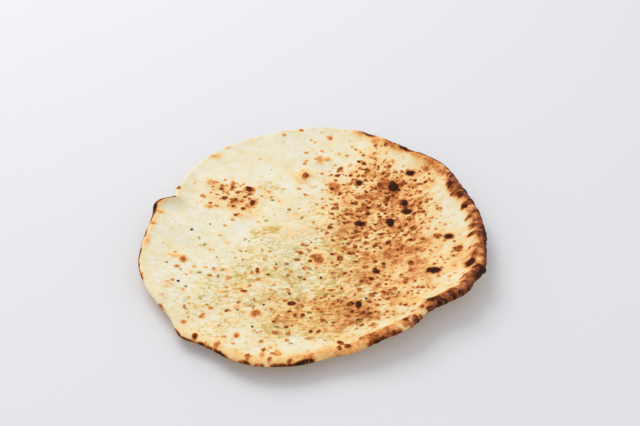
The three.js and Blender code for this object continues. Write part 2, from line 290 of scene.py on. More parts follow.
@dataclass(frozen=True)
class BreadForm:
    """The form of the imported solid, from the same driving sizes: a thin round of dough whose edge curls up,
    with a rolled rim. A place on it has a share of the way from the middle to the crest, and an angle."""

    mean_radius: float = 155
    dough: float = 5.0
    outline: tuple[Swell, ...] = (
        Swell(-4, 25, 10),
        Swell(35, 11, 7),
        Swell(77, 16, 7),
        Swell(128, 18, 2),
        Swell(156, 9, -4),
        Swell(163.5, 4, -8),
        Swell(168, 4, 6),
        Swell(197, 16, 13),
        Swell(216, 12, 5),
        Swell(227, 6, 9),
        Swell(248, 19, 11),
        Swell(275, 7, -4),
        Swell(295, 15, -6),
        Swell(315, 7, -6),
        Swell(330, 6, 4),
        Swell(341, 7, 6),
    )
    outline_power: float = 5
    edge_lift: float = 10
    edge_lifts: tuple[Swell, ...] = (
        Swell(10, 35, 5),
        Swell(90, 40, 1),
        Swell(172, 30, 6),
        Swell(305, 34, 8),
    )
    flat_share: float = 0.38
    curl_power: float = 1.9
    turned_corner: Swell = Swell(165.5, 5.5, 6)
    corner_power: float = 12
    edge_waves: tuple[Wave, ...] = (Wave(5, 1.3, 40), Wave(9, 0.8, 15))
    rim_thickness: float = 5.4
    rim_thicknesses: tuple[Swell, ...] = (
        Swell(12, 40, 5),
        Swell(60, 20, 1),
        Swell(296, 16, 1.5),
        Swell(330, 30, 4),
    )
    rim_lumps: tuple[Wave, ...] = (Wave(13, 0.05, 70), Wave(23, 0.05, 10), Wave(37, 0.06, 200))
    rim_half_width: float = 3.4
    rim_half_widths: tuple[Swell, ...] = (Swell(15, 42, 4), Swell(296, 20, 1), Swell(335, 28, 2.5))
    rim_blend: float = 7
    rim_belly: float = 0.38
    flat_spot_corners: int = 3
    flat_spot_reach: float = 50.2
    hollow_depth: float = 0.6
    hollow_ramp: float = 8
    hollow_fade_power: float = 4
    bubbles: tuple[Bubble, ...] = (
        Bubble(-76, 58, 27, 1.6),
        Bubble(-106, 75, 13, 1.2),
        Bubble(-10, 89, 14, 1.6),
        Bubble(62, 62, 30, 1.4),
        Bubble(84, 27, 22, 1.5),
        Bubble(104, -50, 20, 1.4),
        Bubble(50, -50, 18, 1.3),
        Bubble(-125, -31, 14, 1.3),
        Bubble(2, -24, 16, 1.3),
        Bubble(-51, -97, 15, 1.5),
        Bubble(22, 20, 24, 1.2),
        Bubble(37, -87, 17, 1.4),
        Bubble(9, 112, 15, 1.2),
    )
    share_step: float = 0.005
    widest_share: float = 1.1
    halvings: int = 30
    box_steps: int = 240

    def edge_radius(self, angle: Array) -> Array:
        """How far the rim's outermost line lies from the middle."""
        return round_the_edge(self.mean_radius, self.outline, angle)

    def half_width(self, angle: Array) -> Array:
        """How far the rim's outermost line lies outside its crest."""
        return round_the_edge(self.rim_half_width, self.rim_half_widths, angle)

    def crest_radius(self, angle: Array) -> Array:
        """How far the rim's crest lies from the middle."""
        return self.edge_radius(angle) - self.half_width(angle)

    def rim_height(self, angle: Array) -> Array:
        """The rim's lumpy thickness."""
        lumps = round_the_edge(1, self.rim_lumps, angle)
        return round_the_edge(self.rim_thickness, self.rim_thicknesses, angle) * lumps

    def radius_at(self, share: Array, angle: Array) -> Array:
        """The radius at a share: the mean radius times it, plus the swell there times its fifth power."""
        swell = self.crest_radius(angle) - self.mean_radius
        return self.mean_radius * share + swell * np.abs(share) ** self.outline_power * np.sign(share)

    def underside_height(self, share: Array, angle: Array) -> Array:
        """The underside's height before its hollow, where b is 0 out to the flat share and 1 at the crest.

        Args:
            share: Shares of the way out.
            angle: Radians.

        Returns:
            The lift times b^1.9, the turned-up corner times b^12 and the edge's waves times b², in all.
        """
        beyond = np.clip((share - self.flat_share) / (1 - self.flat_share), 0, None)
        curl = round_the_edge(self.edge_lift, self.edge_lifts, angle) * beyond**self.curl_power
        corner = self.turned_corner.over(angle) * beyond**self.corner_power
        return curl + corner + round_the_edge(0, self.edge_waves, angle) * beyond**2

    def share_at(self, radius: Array, angle: Array) -> Array:
        """The share at which the radius has a value, by halving the span that holds it.

        Args:
            radius: Millimetres from the middle.
            angle: Radians.

        Returns:
            The shares.
        """
        low = np.zeros(np.shape(radius))
        high = np.full(np.shape(radius), self.widest_share)
        for _ in range(self.halvings):
            middle = (low + high) / 2
            short = self.radius_at(middle, angle) < radius
            low = np.where(short, middle, low)
            high = np.where(short, high, middle)
        return low

    def off_underside(self, share: Array, angle: Array, height: Array, reach: Array) -> Array:
        """Points that stand off the underside by a height square to it, and further out by a reach along it.

        Args:
            share: Shares of the way out.
            angle: Radians.
            height: Millimetres square to the underside.
            reach: Millimetres outwards along it.

        Returns:
            Rows of three coordinates: the underside's point plus reach times its outward direction plus
            height times its normal.
        """
        inner, outer = share - self.share_step, share + self.share_step
        rise = self.underside_height(outer, angle) - self.underside_height(inner, angle)
        tilt = np.arctan2(rise, self.radius_at(outer, angle) - self.radius_at(inner, angle))
        radius = self.radius_at(share, angle) + reach * np.cos(tilt) - height * np.sin(tilt)
        level = self.underside_height(share, angle) + reach * np.sin(tilt) + height * np.cos(tilt)
        return np.stack([radius * np.cos(angle), radius * np.sin(angle), level], axis=-1)

    def thickness(self, share: Array, angle: Array) -> Array:
        """The bread's thickness, square to its underside.

        Args:
            share: Shares of the way out.
            angle: Radians.

        Returns:
            The dough's, the rim's fading in over its blend, and each bubble's height times
            (1 - (distance / radius)²)².
        """
        radius = self.radius_at(share, angle)
        from_crest = (self.crest_radius(angle) - radius) / self.rim_blend
        total = self.dough + (self.rim_height(angle) - self.dough) * np.exp(-(from_crest**2))
        x, y = radius * np.cos(angle), radius * np.sin(angle)
        for bubble in self.bubbles:
            apart = np.hypot(x - bubble.x, y - bubble.y) / bubble.radius
            total = total + bubble.height * np.clip(1 - apart**2, 0, None) ** 2
        return total

    def baked_hollow(self, share: Array, angle: Array) -> Array:
        """How far the underside is hollow.

        Args:
            share: Shares of the way out.
            angle: Radians.

        Returns:
            Nothing on the flat spot, whose corners lie at equal angles, and more with the distance outside
            the nearest of its sides.
        """
        side = math.pi / self.flat_spot_corners
        from_corner = np.mod(angle, 2 * side)
        outside = self.radius_at(share, angle) * np.cos(from_corner - side)
        outside = outside - self.flat_spot_reach * math.cos(side)
        ramp = smooth(outside, 0, self.hollow_ramp)
        return self.hollow_depth * ramp * (1 - share**self.hollow_fade_power)

    def rim_roll(self, turn: Array, angle: Array) -> tuple[Array, Array]:
        """The rolled edge's height and reach off the crest's foot.

        Args:
            turn: 1 on the crest, 0 on the outermost line and -1 on the underside.
            angle: Radians.

        Returns:
            The height, which is the belly's plus the rest times sin(turn · 90°), and the reach, which is
            the half width times cos(turn · 90°).
        """
        thickness = self.rim_height(angle)
        belly = self.rim_belly * thickness
        share = np.sin(turn * math.pi / 2)
        height = belly + share * np.where(turn > 0, thickness - belly, belly)
        return height, self.half_width(angle) * np.cos(turn * math.pi / 2)

    def middle(self) -> Array:
        """The middle of the outermost line's box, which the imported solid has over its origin.

        Returns:
            Its place, with 0 as the height.
        """
        angle = np.arange(self.box_steps) * (2 * math.pi / self.box_steps)
        height, reach = self.rim_roll(np.zeros(self.box_steps), angle)
        line = self.off_underside(np.ones(self.box_steps), angle, height, reach)
        middle = (line.min(axis=0) + line.max(axis=0)) / 2
        return np.array([middle[0], middle[1], 0.0])


# ---------------------------------------------------------------- Where the oven toasted it


LARGEST_POWER = 30


@dataclass(frozen=True)
class Zone:
    """A soft-edged oval part of the top: how toasted it is, how thickly spots and specks stand in it, and
    how buttery it is."""

    x: float
    y: float
    long_radius: float
    short_radius: float
    turn: float = 0
    toast: float = 0
    spots: float = 0
    butter: float = 0
    softness: float = 0.22

    def cover(self, x: Array, y: Array) -> Array:
        """How far each place lies in the zone.

        Args:
            x: Millimetres along X.
            y: Millimetres along Y.

        Returns:
            1 / (1 + exp((d - 1) / softness)) of the oval distance d.
        """
        c, s = math.cos(self.turn * RADIANS), math.sin(self.turn * RADIANS)
        along = ((x - self.x) * c + (y - self.y) * s) / self.long_radius
        across = ((y - self.y) * c - (x - self.x) * s) / self.short_radius
        power = (np.hypot(along, across) - 1) / self.softness
        return 1 / (1 + np.exp(np.clip(power, -LARGEST_POWER, LARGEST_POWER)))


TOP_ZONES = (
    Zone(68, 56, 56, 58, 0, toast=0.26, spots=0.92, softness=0.15),
    Zone(72, 60, 34, 36, 0, toast=0.08, spots=0.1, softness=0.2),
    Zone(86, -32, 58, 46, 0, toast=0.26, spots=0.5, softness=0.17),
    Zone(36, -84, 56, 26, 10, toast=0.16, spots=0.34, butter=0.3),
    Zone(18, 8, 44, 52, 0, toast=0.06, spots=0.22, butter=0.5),
    Zone(-80, 60, 28, 19, 0, toast=0.24, spots=0.8, softness=0.22),
    Zone(-28, -52, 80, 52, 0, toast=0.03, spots=0.16, butter=0.75),
    Zone(10, -104, 50, 24, 0, toast=0.14, spots=0.26, butter=0.75),
    Zone(-66, -112, 60, 26, -25, toast=0.05, spots=0.2, butter=0.35),
    Zone(-148, 4, 8, 30, 8, spots=0.08),
    Zone(-49, 81, 11, 6, -8, toast=0.08, butter=0.9),
    Zone(-44, 16, 8, 6, 0, toast=0.12, butter=1.0),
    Zone(20, 106, 40, 26, 0, toast=0.04, spots=0.14),
    Zone(131, 40, 8, 44, 20, toast=-0.02, spots=-0.5, butter=0.3),
    Zone(104, -84, 38, 10, 42, toast=-0.08, spots=-0.2, butter=0.3),
    Zone(62, -66, 22, 7, 25, toast=-0.1, spots=-0.3),
    Zone(102, 104, 26, 9, -38, toast=-0.06, spots=-0.3),
    Zone(44, -132, 42, 10, 18, toast=0.06, spots=-0.3),
    Zone(48, -112, 32, 12, 18, toast=0.1, spots=0.3, butter=0.3),
)


class Tone(Enum):
    """How toasted a single spot is."""

    TAN = 0.4
    ORANGE = 0.48
    BROWN = 0.6
    DARK = 0.74
    BURNT = 0.86


@dataclass(frozen=True)
class Mark:
    """A single larger spot: middle, length along X, width along Y and tone."""

    x: float
    y: float
    length: float
    width: float
    tone: Tone


LEFT_CLUSTER = (
    Mark(-66, 69, 6, 7, Tone.BURNT),
    Mark(-64, 62, 5, 4, Tone.BURNT),
    Mark(-69, 57, 4, 4, Tone.DARK),
    Mark(-77, 63, 4, 5, Tone.DARK),
    Mark(-82, 74, 5, 12, Tone.BROWN),
    Mark(-93, 67, 5, 5, Tone.DARK),
    Mark(-67, 46, 4, 6, Tone.BROWN),
    Mark(-106, 74, 12, 7, Tone.ORANGE),
    Mark(-104, 41, 9, 5, Tone.ORANGE),
)
LEFT_EDGE = (
    Mark(-149, 21, 7, 3, Tone.ORANGE),
    Mark(-154, 5, 6, 5, Tone.ORANGE),
    Mark(-156, -16, 5, 8, Tone.TAN),
    Mark(-122, -32, 7, 7, Tone.BROWN),
    Mark(-131, -29, 9, 4, Tone.TAN),
    Mark(-132, -65, 10, 6, Tone.TAN),
    Mark(-113, -47, 4, 4, Tone.BROWN),
)
BACK = (
    Mark(-103, 111, 12, 7, Tone.TAN),
    Mark(-91, 126, 7, 6, Tone.ORANGE),
    Mark(-11, 88, 16, 14, Tone.TAN),
    Mark(-9, 89, 8, 8, Tone.DARK),
    Mark(14, 113, 7, 5, Tone.ORANGE),
    Mark(6, 112, 8, 10, Tone.ORANGE),
    Mark(28, 102, 4, 5, Tone.DARK),
    Mark(51, 107, 5, 5, Tone.BURNT),
    Mark(17, 145, 5, 8, Tone.BROWN),
    Mark(51, 149, 8, 5, Tone.BURNT),
    Mark(94, 119, 8, 7, Tone.BURNT),
)
TOASTED_HEART = (
    Mark(22, 74, 14, 16, Tone.BROWN),
    Mark(54, 44, 6, 6, Tone.BURNT),
    Mark(84, 14, 5, 5, Tone.DARK),
    Mark(96, 12, 5, 5, Tone.DARK),
    Mark(106, 33, 10, 6, Tone.BURNT),
    Mark(71, 63, 4, 5, Tone.BURNT),
    Mark(59, 55, 5, 5, Tone.DARK),
    Mark(70, 90, 4, 4, Tone.DARK),
    Mark(77, 99, 4, 5, Tone.BURNT),
    Mark(83, 91, 5, 4, Tone.BURNT),
    Mark(89, 74, 4, 4, Tone.DARK),
    Mark(107, 71, 8, 4, Tone.DARK),
    Mark(114, 89, 7, 6, Tone.BROWN),
)
PUFFED_RIM = (
    Mark(138, 70, 6, 7, Tone.BURNT),
    Mark(140, 59, 6, 7, Tone.BURNT),
    Mark(143, 42, 7, 8, Tone.BURNT),
    Mark(147, 28, 6, 6, Tone.BURNT),
    Mark(136, -21, 8, 8, Tone.BURNT),
    Mark(149, -7, 5, 5, Tone.DARK),
)
FRONT_RIGHT = (
    Mark(92, -33, 6, 6, Tone.BURNT),
    Mark(91, -43, 4, 6, Tone.DARK),
    Mark(57, -24, 5, 10, Tone.BROWN),
    Mark(49, -20, 7, 6, Tone.BROWN),
    Mark(54, -52, 6, 5, Tone.BURNT),
    Mark(85, -57, 5, 7, Tone.BURNT),
    Mark(74, -66, 4, 6, Tone.BURNT),
    Mark(69, -72, 7, 3, Tone.BURNT),
    Mark(56, -71, 5, 3, Tone.BURNT),
    Mark(84, -79, 4, 8, Tone.DARK),
    Mark(67, -80, 4, 5, Tone.DARK),
    Mark(33, -85, 6, 5, Tone.BURNT),
    Mark(49, -91, 3, 6, Tone.DARK),
    Mark(17, -65, 8, 3, Tone.BROWN),
    Mark(3, -25, 11, 13, Tone.BROWN),
)
FRONT_EDGE = (
    Mark(110, -95, 6, 7, Tone.BURNT),
    Mark(103, -104, 8, 7, Tone.BURNT),
    Mark(81, -120, 8, 6, Tone.BROWN),
    Mark(64, -128, 5, 8, Tone.DARK),
    Mark(55, -135, 4, 8, Tone.DARK),
    Mark(42, -134, 6, 7, Tone.DARK),
    Mark(23, -142, 5, 7, Tone.BURNT),
    Mark(53, -115, 6, 8, Tone.BROWN),
    Mark(-30, -147, 6, 9, Tone.BROWN),
    Mark(-43, -149, 6, 8, Tone.ORANGE),
)
FRONT_LEFT = (
    Mark(-92, -41, 5, 6, Tone.BROWN),
    Mark(-84, -41, 8, 4, Tone.BROWN),
    Mark(-52, -41, 4, 7, Tone.BURNT),
    Mark(-7, -37, 7, 6, Tone.ORANGE),
    Mark(-44, -55, 8, 6, Tone.TAN),
    Mark(-64, -67, 8, 3, Tone.BURNT),
    Mark(-82, -69, 12, 5, Tone.TAN),
    Mark(-20, -82, 7, 5, Tone.BURNT),
    Mark(-69, -87, 7, 6, Tone.TAN),
    Mark(-52, -97, 12, 11, Tone.BROWN),
    Mark(-99, -101, 5, 4, Tone.BROWN),
    Mark(-114, -109, 5, 5, Tone.BROWN),
    Mark(-102, -126, 5, 7, Tone.BURNT),
    Mark(-82, -136, 5, 9, Tone.BROWN),
    Mark(-66, -124, 6, 7, Tone.DARK),
)
MARKS = LEFT_CLUSTER + LEFT_EDGE + BACK + TOASTED_HEART + PUFFED_RIM + FRONT_RIGHT + FRONT_EDGE + FRONT_LEFT


# ---------------------------------------------------------------- What the oven did to the skin


@dataclass
class SkinState:
    """What the skin is like at some places: how far it stands out, and its toast, char, butter, flour and
    soot, each from 0 to 1, with how thickly small specks stand in it."""

    raised: Array
    toast: Array
    char: Array
    butter: Array
    specks: Array
    flour: Array
    soot: Array

    @classmethod
    def clean(cls, raised: Array, toast: Array, butter: Array, specks: Array) -> "SkinState":
        """A state with no char, flour or soot."""
        char, flour, soot = (np.zeros_like(toast) for _ in range(3))
        return cls(raised, toast, char, butter, specks, flour, soot)

    def darken(self, cover: Array, toast: Array) -> None:
        """Draws the toast towards a darker value where it is covered, and leaves it where it is darker."""
        self.toast += (toast - self.toast) * cover * (toast > self.toast)

    def blend(self, other: "SkinState", share: Array) -> "SkinState":
        """This state where share is 0, the other where it is 1."""
        pairs = ((getattr(self, field.name), getattr(other, field.name)) for field in fields(self))
        return SkinState(*(mine * (1 - share) + its * share for mine, its in pairs))


@dataclass(frozen=True)
class SpotField:
    """Spots strewn one to a cell of a square lattice, each with a drawn place, size, tone and length.

    cell is the lattice's step, least and most are radii as shares of it, stretch is the longest length over
    width, tones are the lightest and darkest toast, and raised is the height of the highest. ragged is how
    uneven the edges are, hollow is the share of spots that are rings, and margin keeps middles inside their
    cells. Each spot has at least least_share of the raggedness and of the range of tones.
    """

    cell: float
    seed: int
    least: float
    most: float
    stretch: float
    tones: tuple[float, float]
    raised: float
    ragged: float = 0.34
    hollow: float = 0.3
    edge_size: float = 0.42
    margin: float = 0.1
    swing: float = 0.9
    least_share: float = 0.4
    ring_depth: float = 0.22
    ring_hole: tuple[float, float] = (0.55, 0.1)

    def over(
        self,
        x: Array,
        y: Array,
        density: Callable[[Array, Array], Array],
        lie: Callable[[Array, Array], Array],
    ) -> tuple[Array, Array, Array]:
        """The spots at each place. Each of the nine nearest cells gives a distance from its spot's middle
        over the spot's radii, and the spot covers 1 - distance, roughened by noise.

        Args:
            x: First coordinates in millimetres.
            y: Second coordinates in millimetres.
            density: The share of cells that hold a spot at given places.
            lie: The angle in radians of a spot's length at given places.

        Returns:
            How far each place is covered, from 0 to 1, the toast of the spot there and its height.
        """
        ragged = self.ragged * Noise(self.cell * self.edge_size, self.seed + 5, 3).on(x, y)
        cover, toast, height = np.zeros_like(x), np.zeros_like(x), np.zeros_like(x)
        cell_x, cell_y = np.floor(x / self.cell), np.floor(y / self.cell)
        room, most_share = 1 - 2 * self.margin, 1 - self.least_share
        for step_x, step_y in product((-1, 0, 1), repeat=2):
            place = [cell_x + step_x, cell_y + step_y]
            draws = (lattice_draw(place, self.seed + n) for n in range(7))
            east, north, chance, bulk, pull, lean, ring = draws
            middle_x = (place[0] + self.margin + room * east) * self.cell
            middle_y = (place[1] + self.margin + room * north) * self.cell
            there = chance < density(middle_x, middle_y)
            radius = (self.least + (self.most - self.least) * bulk**2) * self.cell
            length = 1 + (self.stretch - 1) * pull
            turn = lie(middle_x, middle_y) + self.swing * (lean - 0.5)
            along = ((x - middle_x) * np.cos(turn) + (y - middle_y) * np.sin(turn)) / (radius * length)
            across = ((y - middle_y) * np.cos(turn) - (x - middle_x) * np.sin(turn)) / radius
            distance = np.hypot(along, across)
            near = np.where(there, 1 - distance + ragged * (self.least_share + most_share * pull), 0)
            better = near > cover
            cover = np.where(better, near, cover)
            shade = bulk * (self.least_share + most_share * east)
            tone = self.tones[0] + (self.tones[1] - self.tones[0]) * shade
            hole = self.ring_depth * smooth(distance, *self.ring_hole)
            tone = tone - np.where(ring < self.hollow, hole, 0)
            toast = np.where(better, tone, toast)
            height = np.where(better, self.raised * pull * (radius / (self.most * self.cell)), height)
        return cover, toast, height


@dataclass(frozen=True)
class Stretch:
    """How the dough was pulled: its streaks lie level at the left and turn towards the back at the right."""

    start: float = -30
    end: float = 125
    rate: float = 260
    length: float = 1.35

    def lie(self, x: Array, y: Array) -> Array:
        """The angle in radians of the streaks at each place."""
        return np.arctan(np.clip(x - self.start, 0, self.end - self.start) / self.rate)

    def unrolled(self, x: Array, y: Array, z: Optional[Array] = None) -> Array:
        """Coordinates in which streaks are level and no longer than wide.

        Args:
            x: Millimetres along X.
            y: Millimetres along Y.
            z: Millimetres upwards, or nothing for 0.

        Returns:
            Rows of x over the length, y less the streak's own rise, and z.
        """
        over = np.clip(x - self.start, 0, self.end - self.start)
        beyond = np.clip(x - self.end, 0, None) * (self.end - self.start) / self.rate
        bent = y - over**2 / (2 * self.rate) - beyond
        return np.stack([x / self.length, bent, np.zeros_like(x) if z is None else z], axis=-1)


@dataclass(frozen=True)
class PatchBake:
    """Uneven toasted patches and streaks: noise in the stretched dough's coordinates above a threshold,
    which is lower where spots stand thickly. layers pairs each noise with what is added to its threshold."""

    layers: tuple[tuple[Noise, float], ...] = ((Noise(5.5, 71, 3), 0.0), (Noise(3.6, 73, 3), 0.04))
    tone: Noise = Noise(13, 72, 2)
    threshold: float = 1.26
    threshold_fall: float = 0.46
    ramp: float = 0.3
    strength: float = 0.9
    base_toast: float = 0.36
    height: float = 0.22

    def add(self, unrolled: Array, spots: Array, state: SkinState) -> None:
        """Adds the patches, which are darker in their middles and where spots stand thickly.

        Args:
            unrolled: The stretched dough's coordinates.
            spots: The density of spots.
            state: What they are added to.
        """
        tone = self.tone.at(unrolled)
        for grain, higher in self.layers:
            level = self.threshold - self.threshold_fall * spots + higher
            cover = smooth(grain.at(unrolled) - level, 0, self.ramp)
            toast = self.base_toast + 0.24 * spots + 0.12 * tone + 0.14 * cover
            state.darken(self.strength * cover, toast)
            state.raised += self.height * cover


@dataclass(frozen=True)
class MarkBake:
    """How the single marks are baked in. Each has an oval distance, which is 1 at its given size, and is
    roughened by noise. Its core, its lighter halo and its low dome end at the distances called edges, and
    each rises from nothing there over its ramp inwards."""

    edge: Noise = Noise(4.5, 21, 3)
    tone: Noise = Noise(7, 22, 2)
    roughness: float = 0.38
    core_edge: float = 1.25
    core_ramp: float = 0.6
    halo_edge: float = 2.0
    halo_ramp: float = 0.9
    dome_edge: float = 1.4
    dome_ramp: float = 1.2
    dome_height: float = 0.7
    full_dome_size: float = 8
    reach: float = 1.6

    def add(self, x: Array, y: Array, state: SkinState) -> None:
        """Adds the marks at their places.

        Args:
            x: Coordinates of the skin's places.
            y: The same.
            state: What the marks are added to.
        """
        rough = self.roughness * self.edge.on(x, y)
        uneven = np.clip(0.86 + 0.5 * self.tone.on(x, y), 0.35, 1)
        for mark in MARKS:
            reach = self.reach * max(mark.length, mark.width)
            near = np.nonzero(np.hypot(x - mark.x, y - mark.y) < reach)[0]
            along = (x[near] - mark.x) / (mark.length / 2)
            across = (y[near] - mark.y) / (mark.width / 2)
            distance = np.hypot(along, across)
            cover = smooth(self.core_edge - distance + rough[near], 0, self.core_ramp)
            halo = smooth(self.halo_edge - distance + rough[near], 0, self.halo_ramp)
            size = min(1.0, math.sqrt(mark.length * mark.width) / self.full_dome_size)
            toast = mark.tone.value
            part = np.maximum(state.toast[near], (0.16 + 0.2 * toast) * halo)
            state.toast[near] = part + (toast - part) * cover * (toast > part) * uneven[near]
            state.butter[near] *= 1 - halo
            dome = smooth(self.dome_edge - distance, 0, self.dome_ramp)
            state.raised[near] += self.dome_height * size * dome


@dataclass(frozen=True)
class BlisterBake:
    """How the hard blisters are baked. Each has an oval distance d, made uneven by noise. Its dome is
    (1 - d²)^0.6 of its height, black where it is burnt, in a toasted and floury ring."""

    edge: Noise = Noise(4.2, 31, 3)
    unevenness: float = 0.2
    dome_edge: float = 1.08
    dome_power: float = 0.6
    dome_height: float = 0.9
    char_edge: float = 1.2
    char_ramp: float = 0.3
    ring_edge: float = 2.4
    ring_toast: float = 0.5
    halo_edge: float = 2.6
    halo_ramp: float = 1.2
    halo_toast: float = 0.44
    core_toast: float = 0.84
    core_ramp: float = 0.4
    flour_edge: float = 1.7
    flour_ramp: float = 0.3
    flour: float = 0.25

    def add(self, x: Array, y: Array, state: SkinState) -> None:
        """Adds the blisters.

        Args:
            x: Plan coordinates.
            y: Plan coordinates.
            state: What they are added to.
        """
        rough = self.edge.on(x, y)
        for blister in BLISTERS:
            across = (x - blister.x) / (blister.radius * blister.stretch)
            distance = np.hypot(across, (y - blister.y) / blister.radius)
            uneven = distance * (1 + self.unevenness * rough)
            dome = np.clip(1 - (uneven / self.dome_edge) ** 2, 0, 1) ** self.dome_power
            state.raised += self.dome_height * blister.height * dome
            black = blister.burnt * smooth(self.char_edge - uneven, 0, self.char_ramp)
            state.char = np.maximum(state.char, black)
            ring = blister.burnt * smooth(self.ring_edge - uneven, 0, 1.0)
            state.toast = np.maximum(state.toast, self.ring_toast * ring)
            halo = smooth(self.halo_edge - uneven, 0, self.halo_ramp)
            state.toast = np.maximum(state.toast, self.halo_toast * halo)
            core = smooth(self.dome_edge + 0.3 * blister.burnt - uneven, 0, self.core_ramp)
            state.darken(core, np.full_like(x, self.core_toast))
            dusted = ring * (1 - smooth(self.flour_edge - uneven, 0, self.flour_ramp))
            state.flour = np.maximum(state.flour, self.flour * dusted)


@dataclass(frozen=True)
class RimPlaces:
    """Places on and near the rim: the angle in radians, the millimetres inwards from the outermost line and
    round the edge, how puffed the rim is there, and three noises of its crust."""

    angle: Array
    inside: Array
    length: Array
    puff: Array
    wander: Array
    fold: Array
    crackle: Array


@dataclass(frozen=True)
class RimBake:
    """How the rim is baked round the edge: how far the toasted band reaches in from its crest, how toasted
    it is there, how puffed and crimped it is, how burnt its outer face is, how far up that burn reaches, and
    how thickly dark spots stand on it."""

    base_width: float = 3.0
    widths: tuple[Span, ...] = (
        Span(-64, 28, 5, 10),
        Span(29, 76, 4, 8),
        Span(226, 244, 3, 8),
        Span(244, 296, 10, 14),
        Span(166, 200, 2, 10),
    )
    base_toast: float = 0.09
    toasts: tuple[Span, ...] = (
        Span(-66, -42, 0.42, 12),
        Span(-44, 28, 0.5, 7),
        Span(28, 60, 0.42, 6),
        Span(60, 76, 0.34, 8),
        Span(166, 174, 0.2, 5),
        Span(174, 200, 0.06, 8),
        Span(223, 244, 0.08, 8),
        Span(244, 272, 0.26, 8),
        Span(270, 294, 0.4, 8),
    )
    puffs: tuple[Span, ...] = (Span(-60, 30, 1.0, 14),)
    base_face: float = 0.08
    faces: tuple[Span, ...] = (
        Span(-66, -40, 0.7, 12),
        Span(-42, -22, 0.75, 6),
        Span(-22, 28, 0.95, 6),
        Span(28, 58, 0.6, 5),
        Span(49, 55, 0.4, 3),
        Span(64, 72, 0.8, 5),
        Span(162.5, 173, 1.0, 3),
        Span(174, 185, 0.5, 6),
        Span(185, 200, 0.75, 5),
        Span(224, 235, 0.95, 4),
        Span(235, 243, 0.25, 4),
        Span(243, 263, 0.8, 5),
        Span(264, 273, 0.9, 4),
        Span(273, 294, 0.25, 6),
    )
    base_depth: float = -0.5
    depths: tuple[Span, ...] = (
        Span(-66, -42, 1.8, 12),
        Span(-44, -24, 2.3, 6),
        Span(-24, 27, 4.6, 7),
        Span(28, 58, 3.2, 5),
        Span(49, 54, 3.0, 3),
        Span(65, 71, 5.0, 4),
        Span(162.5, 174, 1.9, 3),
        Span(174, 186, 0.4, 4),
        Span(186, 200, 0.8, 4),
        Span(224, 235, 0.6, 4),
        Span(244, 263, 0.4, 6),
        Span(264, 272, 0.9, 3),
    )
    spots: SpotField = SpotField(8.5, 700, 0.26, 0.5, 1.5, (0.68, 0.94), 0.9, 0.35, 0.1)
    spot_lie: float = 1.9
    spot_fade: float = 4
    base_spot_share: float = 0.03
    spot_shares: tuple[Span, ...] = (
        Span(-62, 28, 0.5, 10),
        Span(28, 72, 0.3, 8),
        Span(244, 266, 0.2, 8),
    )
    seam: float = 130  # the angle where lengths round the edge start
    wander: Noise = Noise(12, 41, 3)
    fold: Noise = Noise(4.8, 44, 2)
    fold_slant: float = 0.5
    fold_stretch: float = 0.3
    crackle: Noise = Noise(3.4, 47, 2)
    most_toast: float = 0.9
    scorched_toast: float = 0.69
    burnt_toast: float = 0.84

    def places(self, form: BreadForm, angle: Array, inside: Array) -> RimPlaces:
        """Places on the rim and what its layers read there. Folds run aslant across the rim.

        Args:
            form: The bread's form.
            angle: Radians.
            inside: Millimetres from the outermost line inwards.

        Returns:
            The places.
        """
        length = np.mod(angle - self.seam * RADIANS, 2 * math.pi) * form.mean_radius
        puff = np.clip(round_the_edge(0, self.puffs, angle), 0, 1)
        wander = self.wander.on(length, inside)
        fold = self.fold.on(length + self.fold_slant * inside, inside * self.fold_stretch)
        return RimPlaces(angle, inside, length, puff, wander, fold, self.crackle.on(length, inside))

    def spot_density(self, form: BreadForm) -> Callable[[Array, Array], Array]:
        """The share of cells that hold a dark spot, as a function of the millimetres round the edge and
        inwards. It falls to nothing at the toasted band's inner side."""

        def density(length: Array, inside: Array) -> Array:
            """The share at some places.

            Args:
                length: Millimetres round the edge.
                inside: Millimetres inwards.

            Returns:
                The shares.
            """
            angle = length / form.mean_radius + self.seam * RADIANS
            reach = round_the_edge(self.base_width, self.widths, angle)
            share = round_the_edge(self.base_spot_share, self.spot_shares, angle)
            return share * smooth(reach + form.half_width(angle) - inside, 0, self.spot_fade)

        return density

    def toast_band(self, form: BreadForm, at: RimPlaces, state: SkinState) -> Array:
        """Toasts the band along the rim.

        Args:
            form: The bread's form.
            at: The places.
            state: What the band is added to.

        Returns:
            How far each place lies in the band.
        """
        width = round_the_edge(self.base_width, self.widths, at.angle) * (1 + 0.35 * at.wander)
        strength = round_the_edge(self.base_toast, self.toasts, at.angle) * (1 + 0.3 * at.wander)
        from_crest = np.clip(at.inside - form.half_width(at.angle), 0, None)
        cover = smooth(from_crest, 1.3 * width, 0)
        toast = strength * (0.55 + 0.45 * cover) + (0.13 * at.puff + 0.05) * at.fold
        toast = np.clip(toast, 0, self.most_toast)
        state.toast = state.toast * (1 - cover) + np.maximum(state.toast, toast) * cover
        state.specks = np.maximum(state.specks, (0.3 + 0.2 * at.puff) * cover)
        state.flour = state.flour * (1 - cover) + 0.14 * at.puff * cover
        return cover

    def dark_spots(self, form: BreadForm, at: RimPlaces, state: SkinState) -> None:
        """Adds dark spots, which stand side by side across the puffed rim and are raised most there.

        Args:
            form: The bread's form.
            at: The places.
            state: What the spots are added to.
        """
        density, lie = self.spot_density(form), everywhere(self.spot_lie)
        spot, tone, height = self.spots.over(at.length, at.inside, density, lie)
        state.darken(0.85 * smooth(spot, 0.02, 0.4), tone)
        state.raised += (0.9 * height + 0.2) * smooth(spot, 0, 0.6) * (0.4 + 0.6 * at.puff)

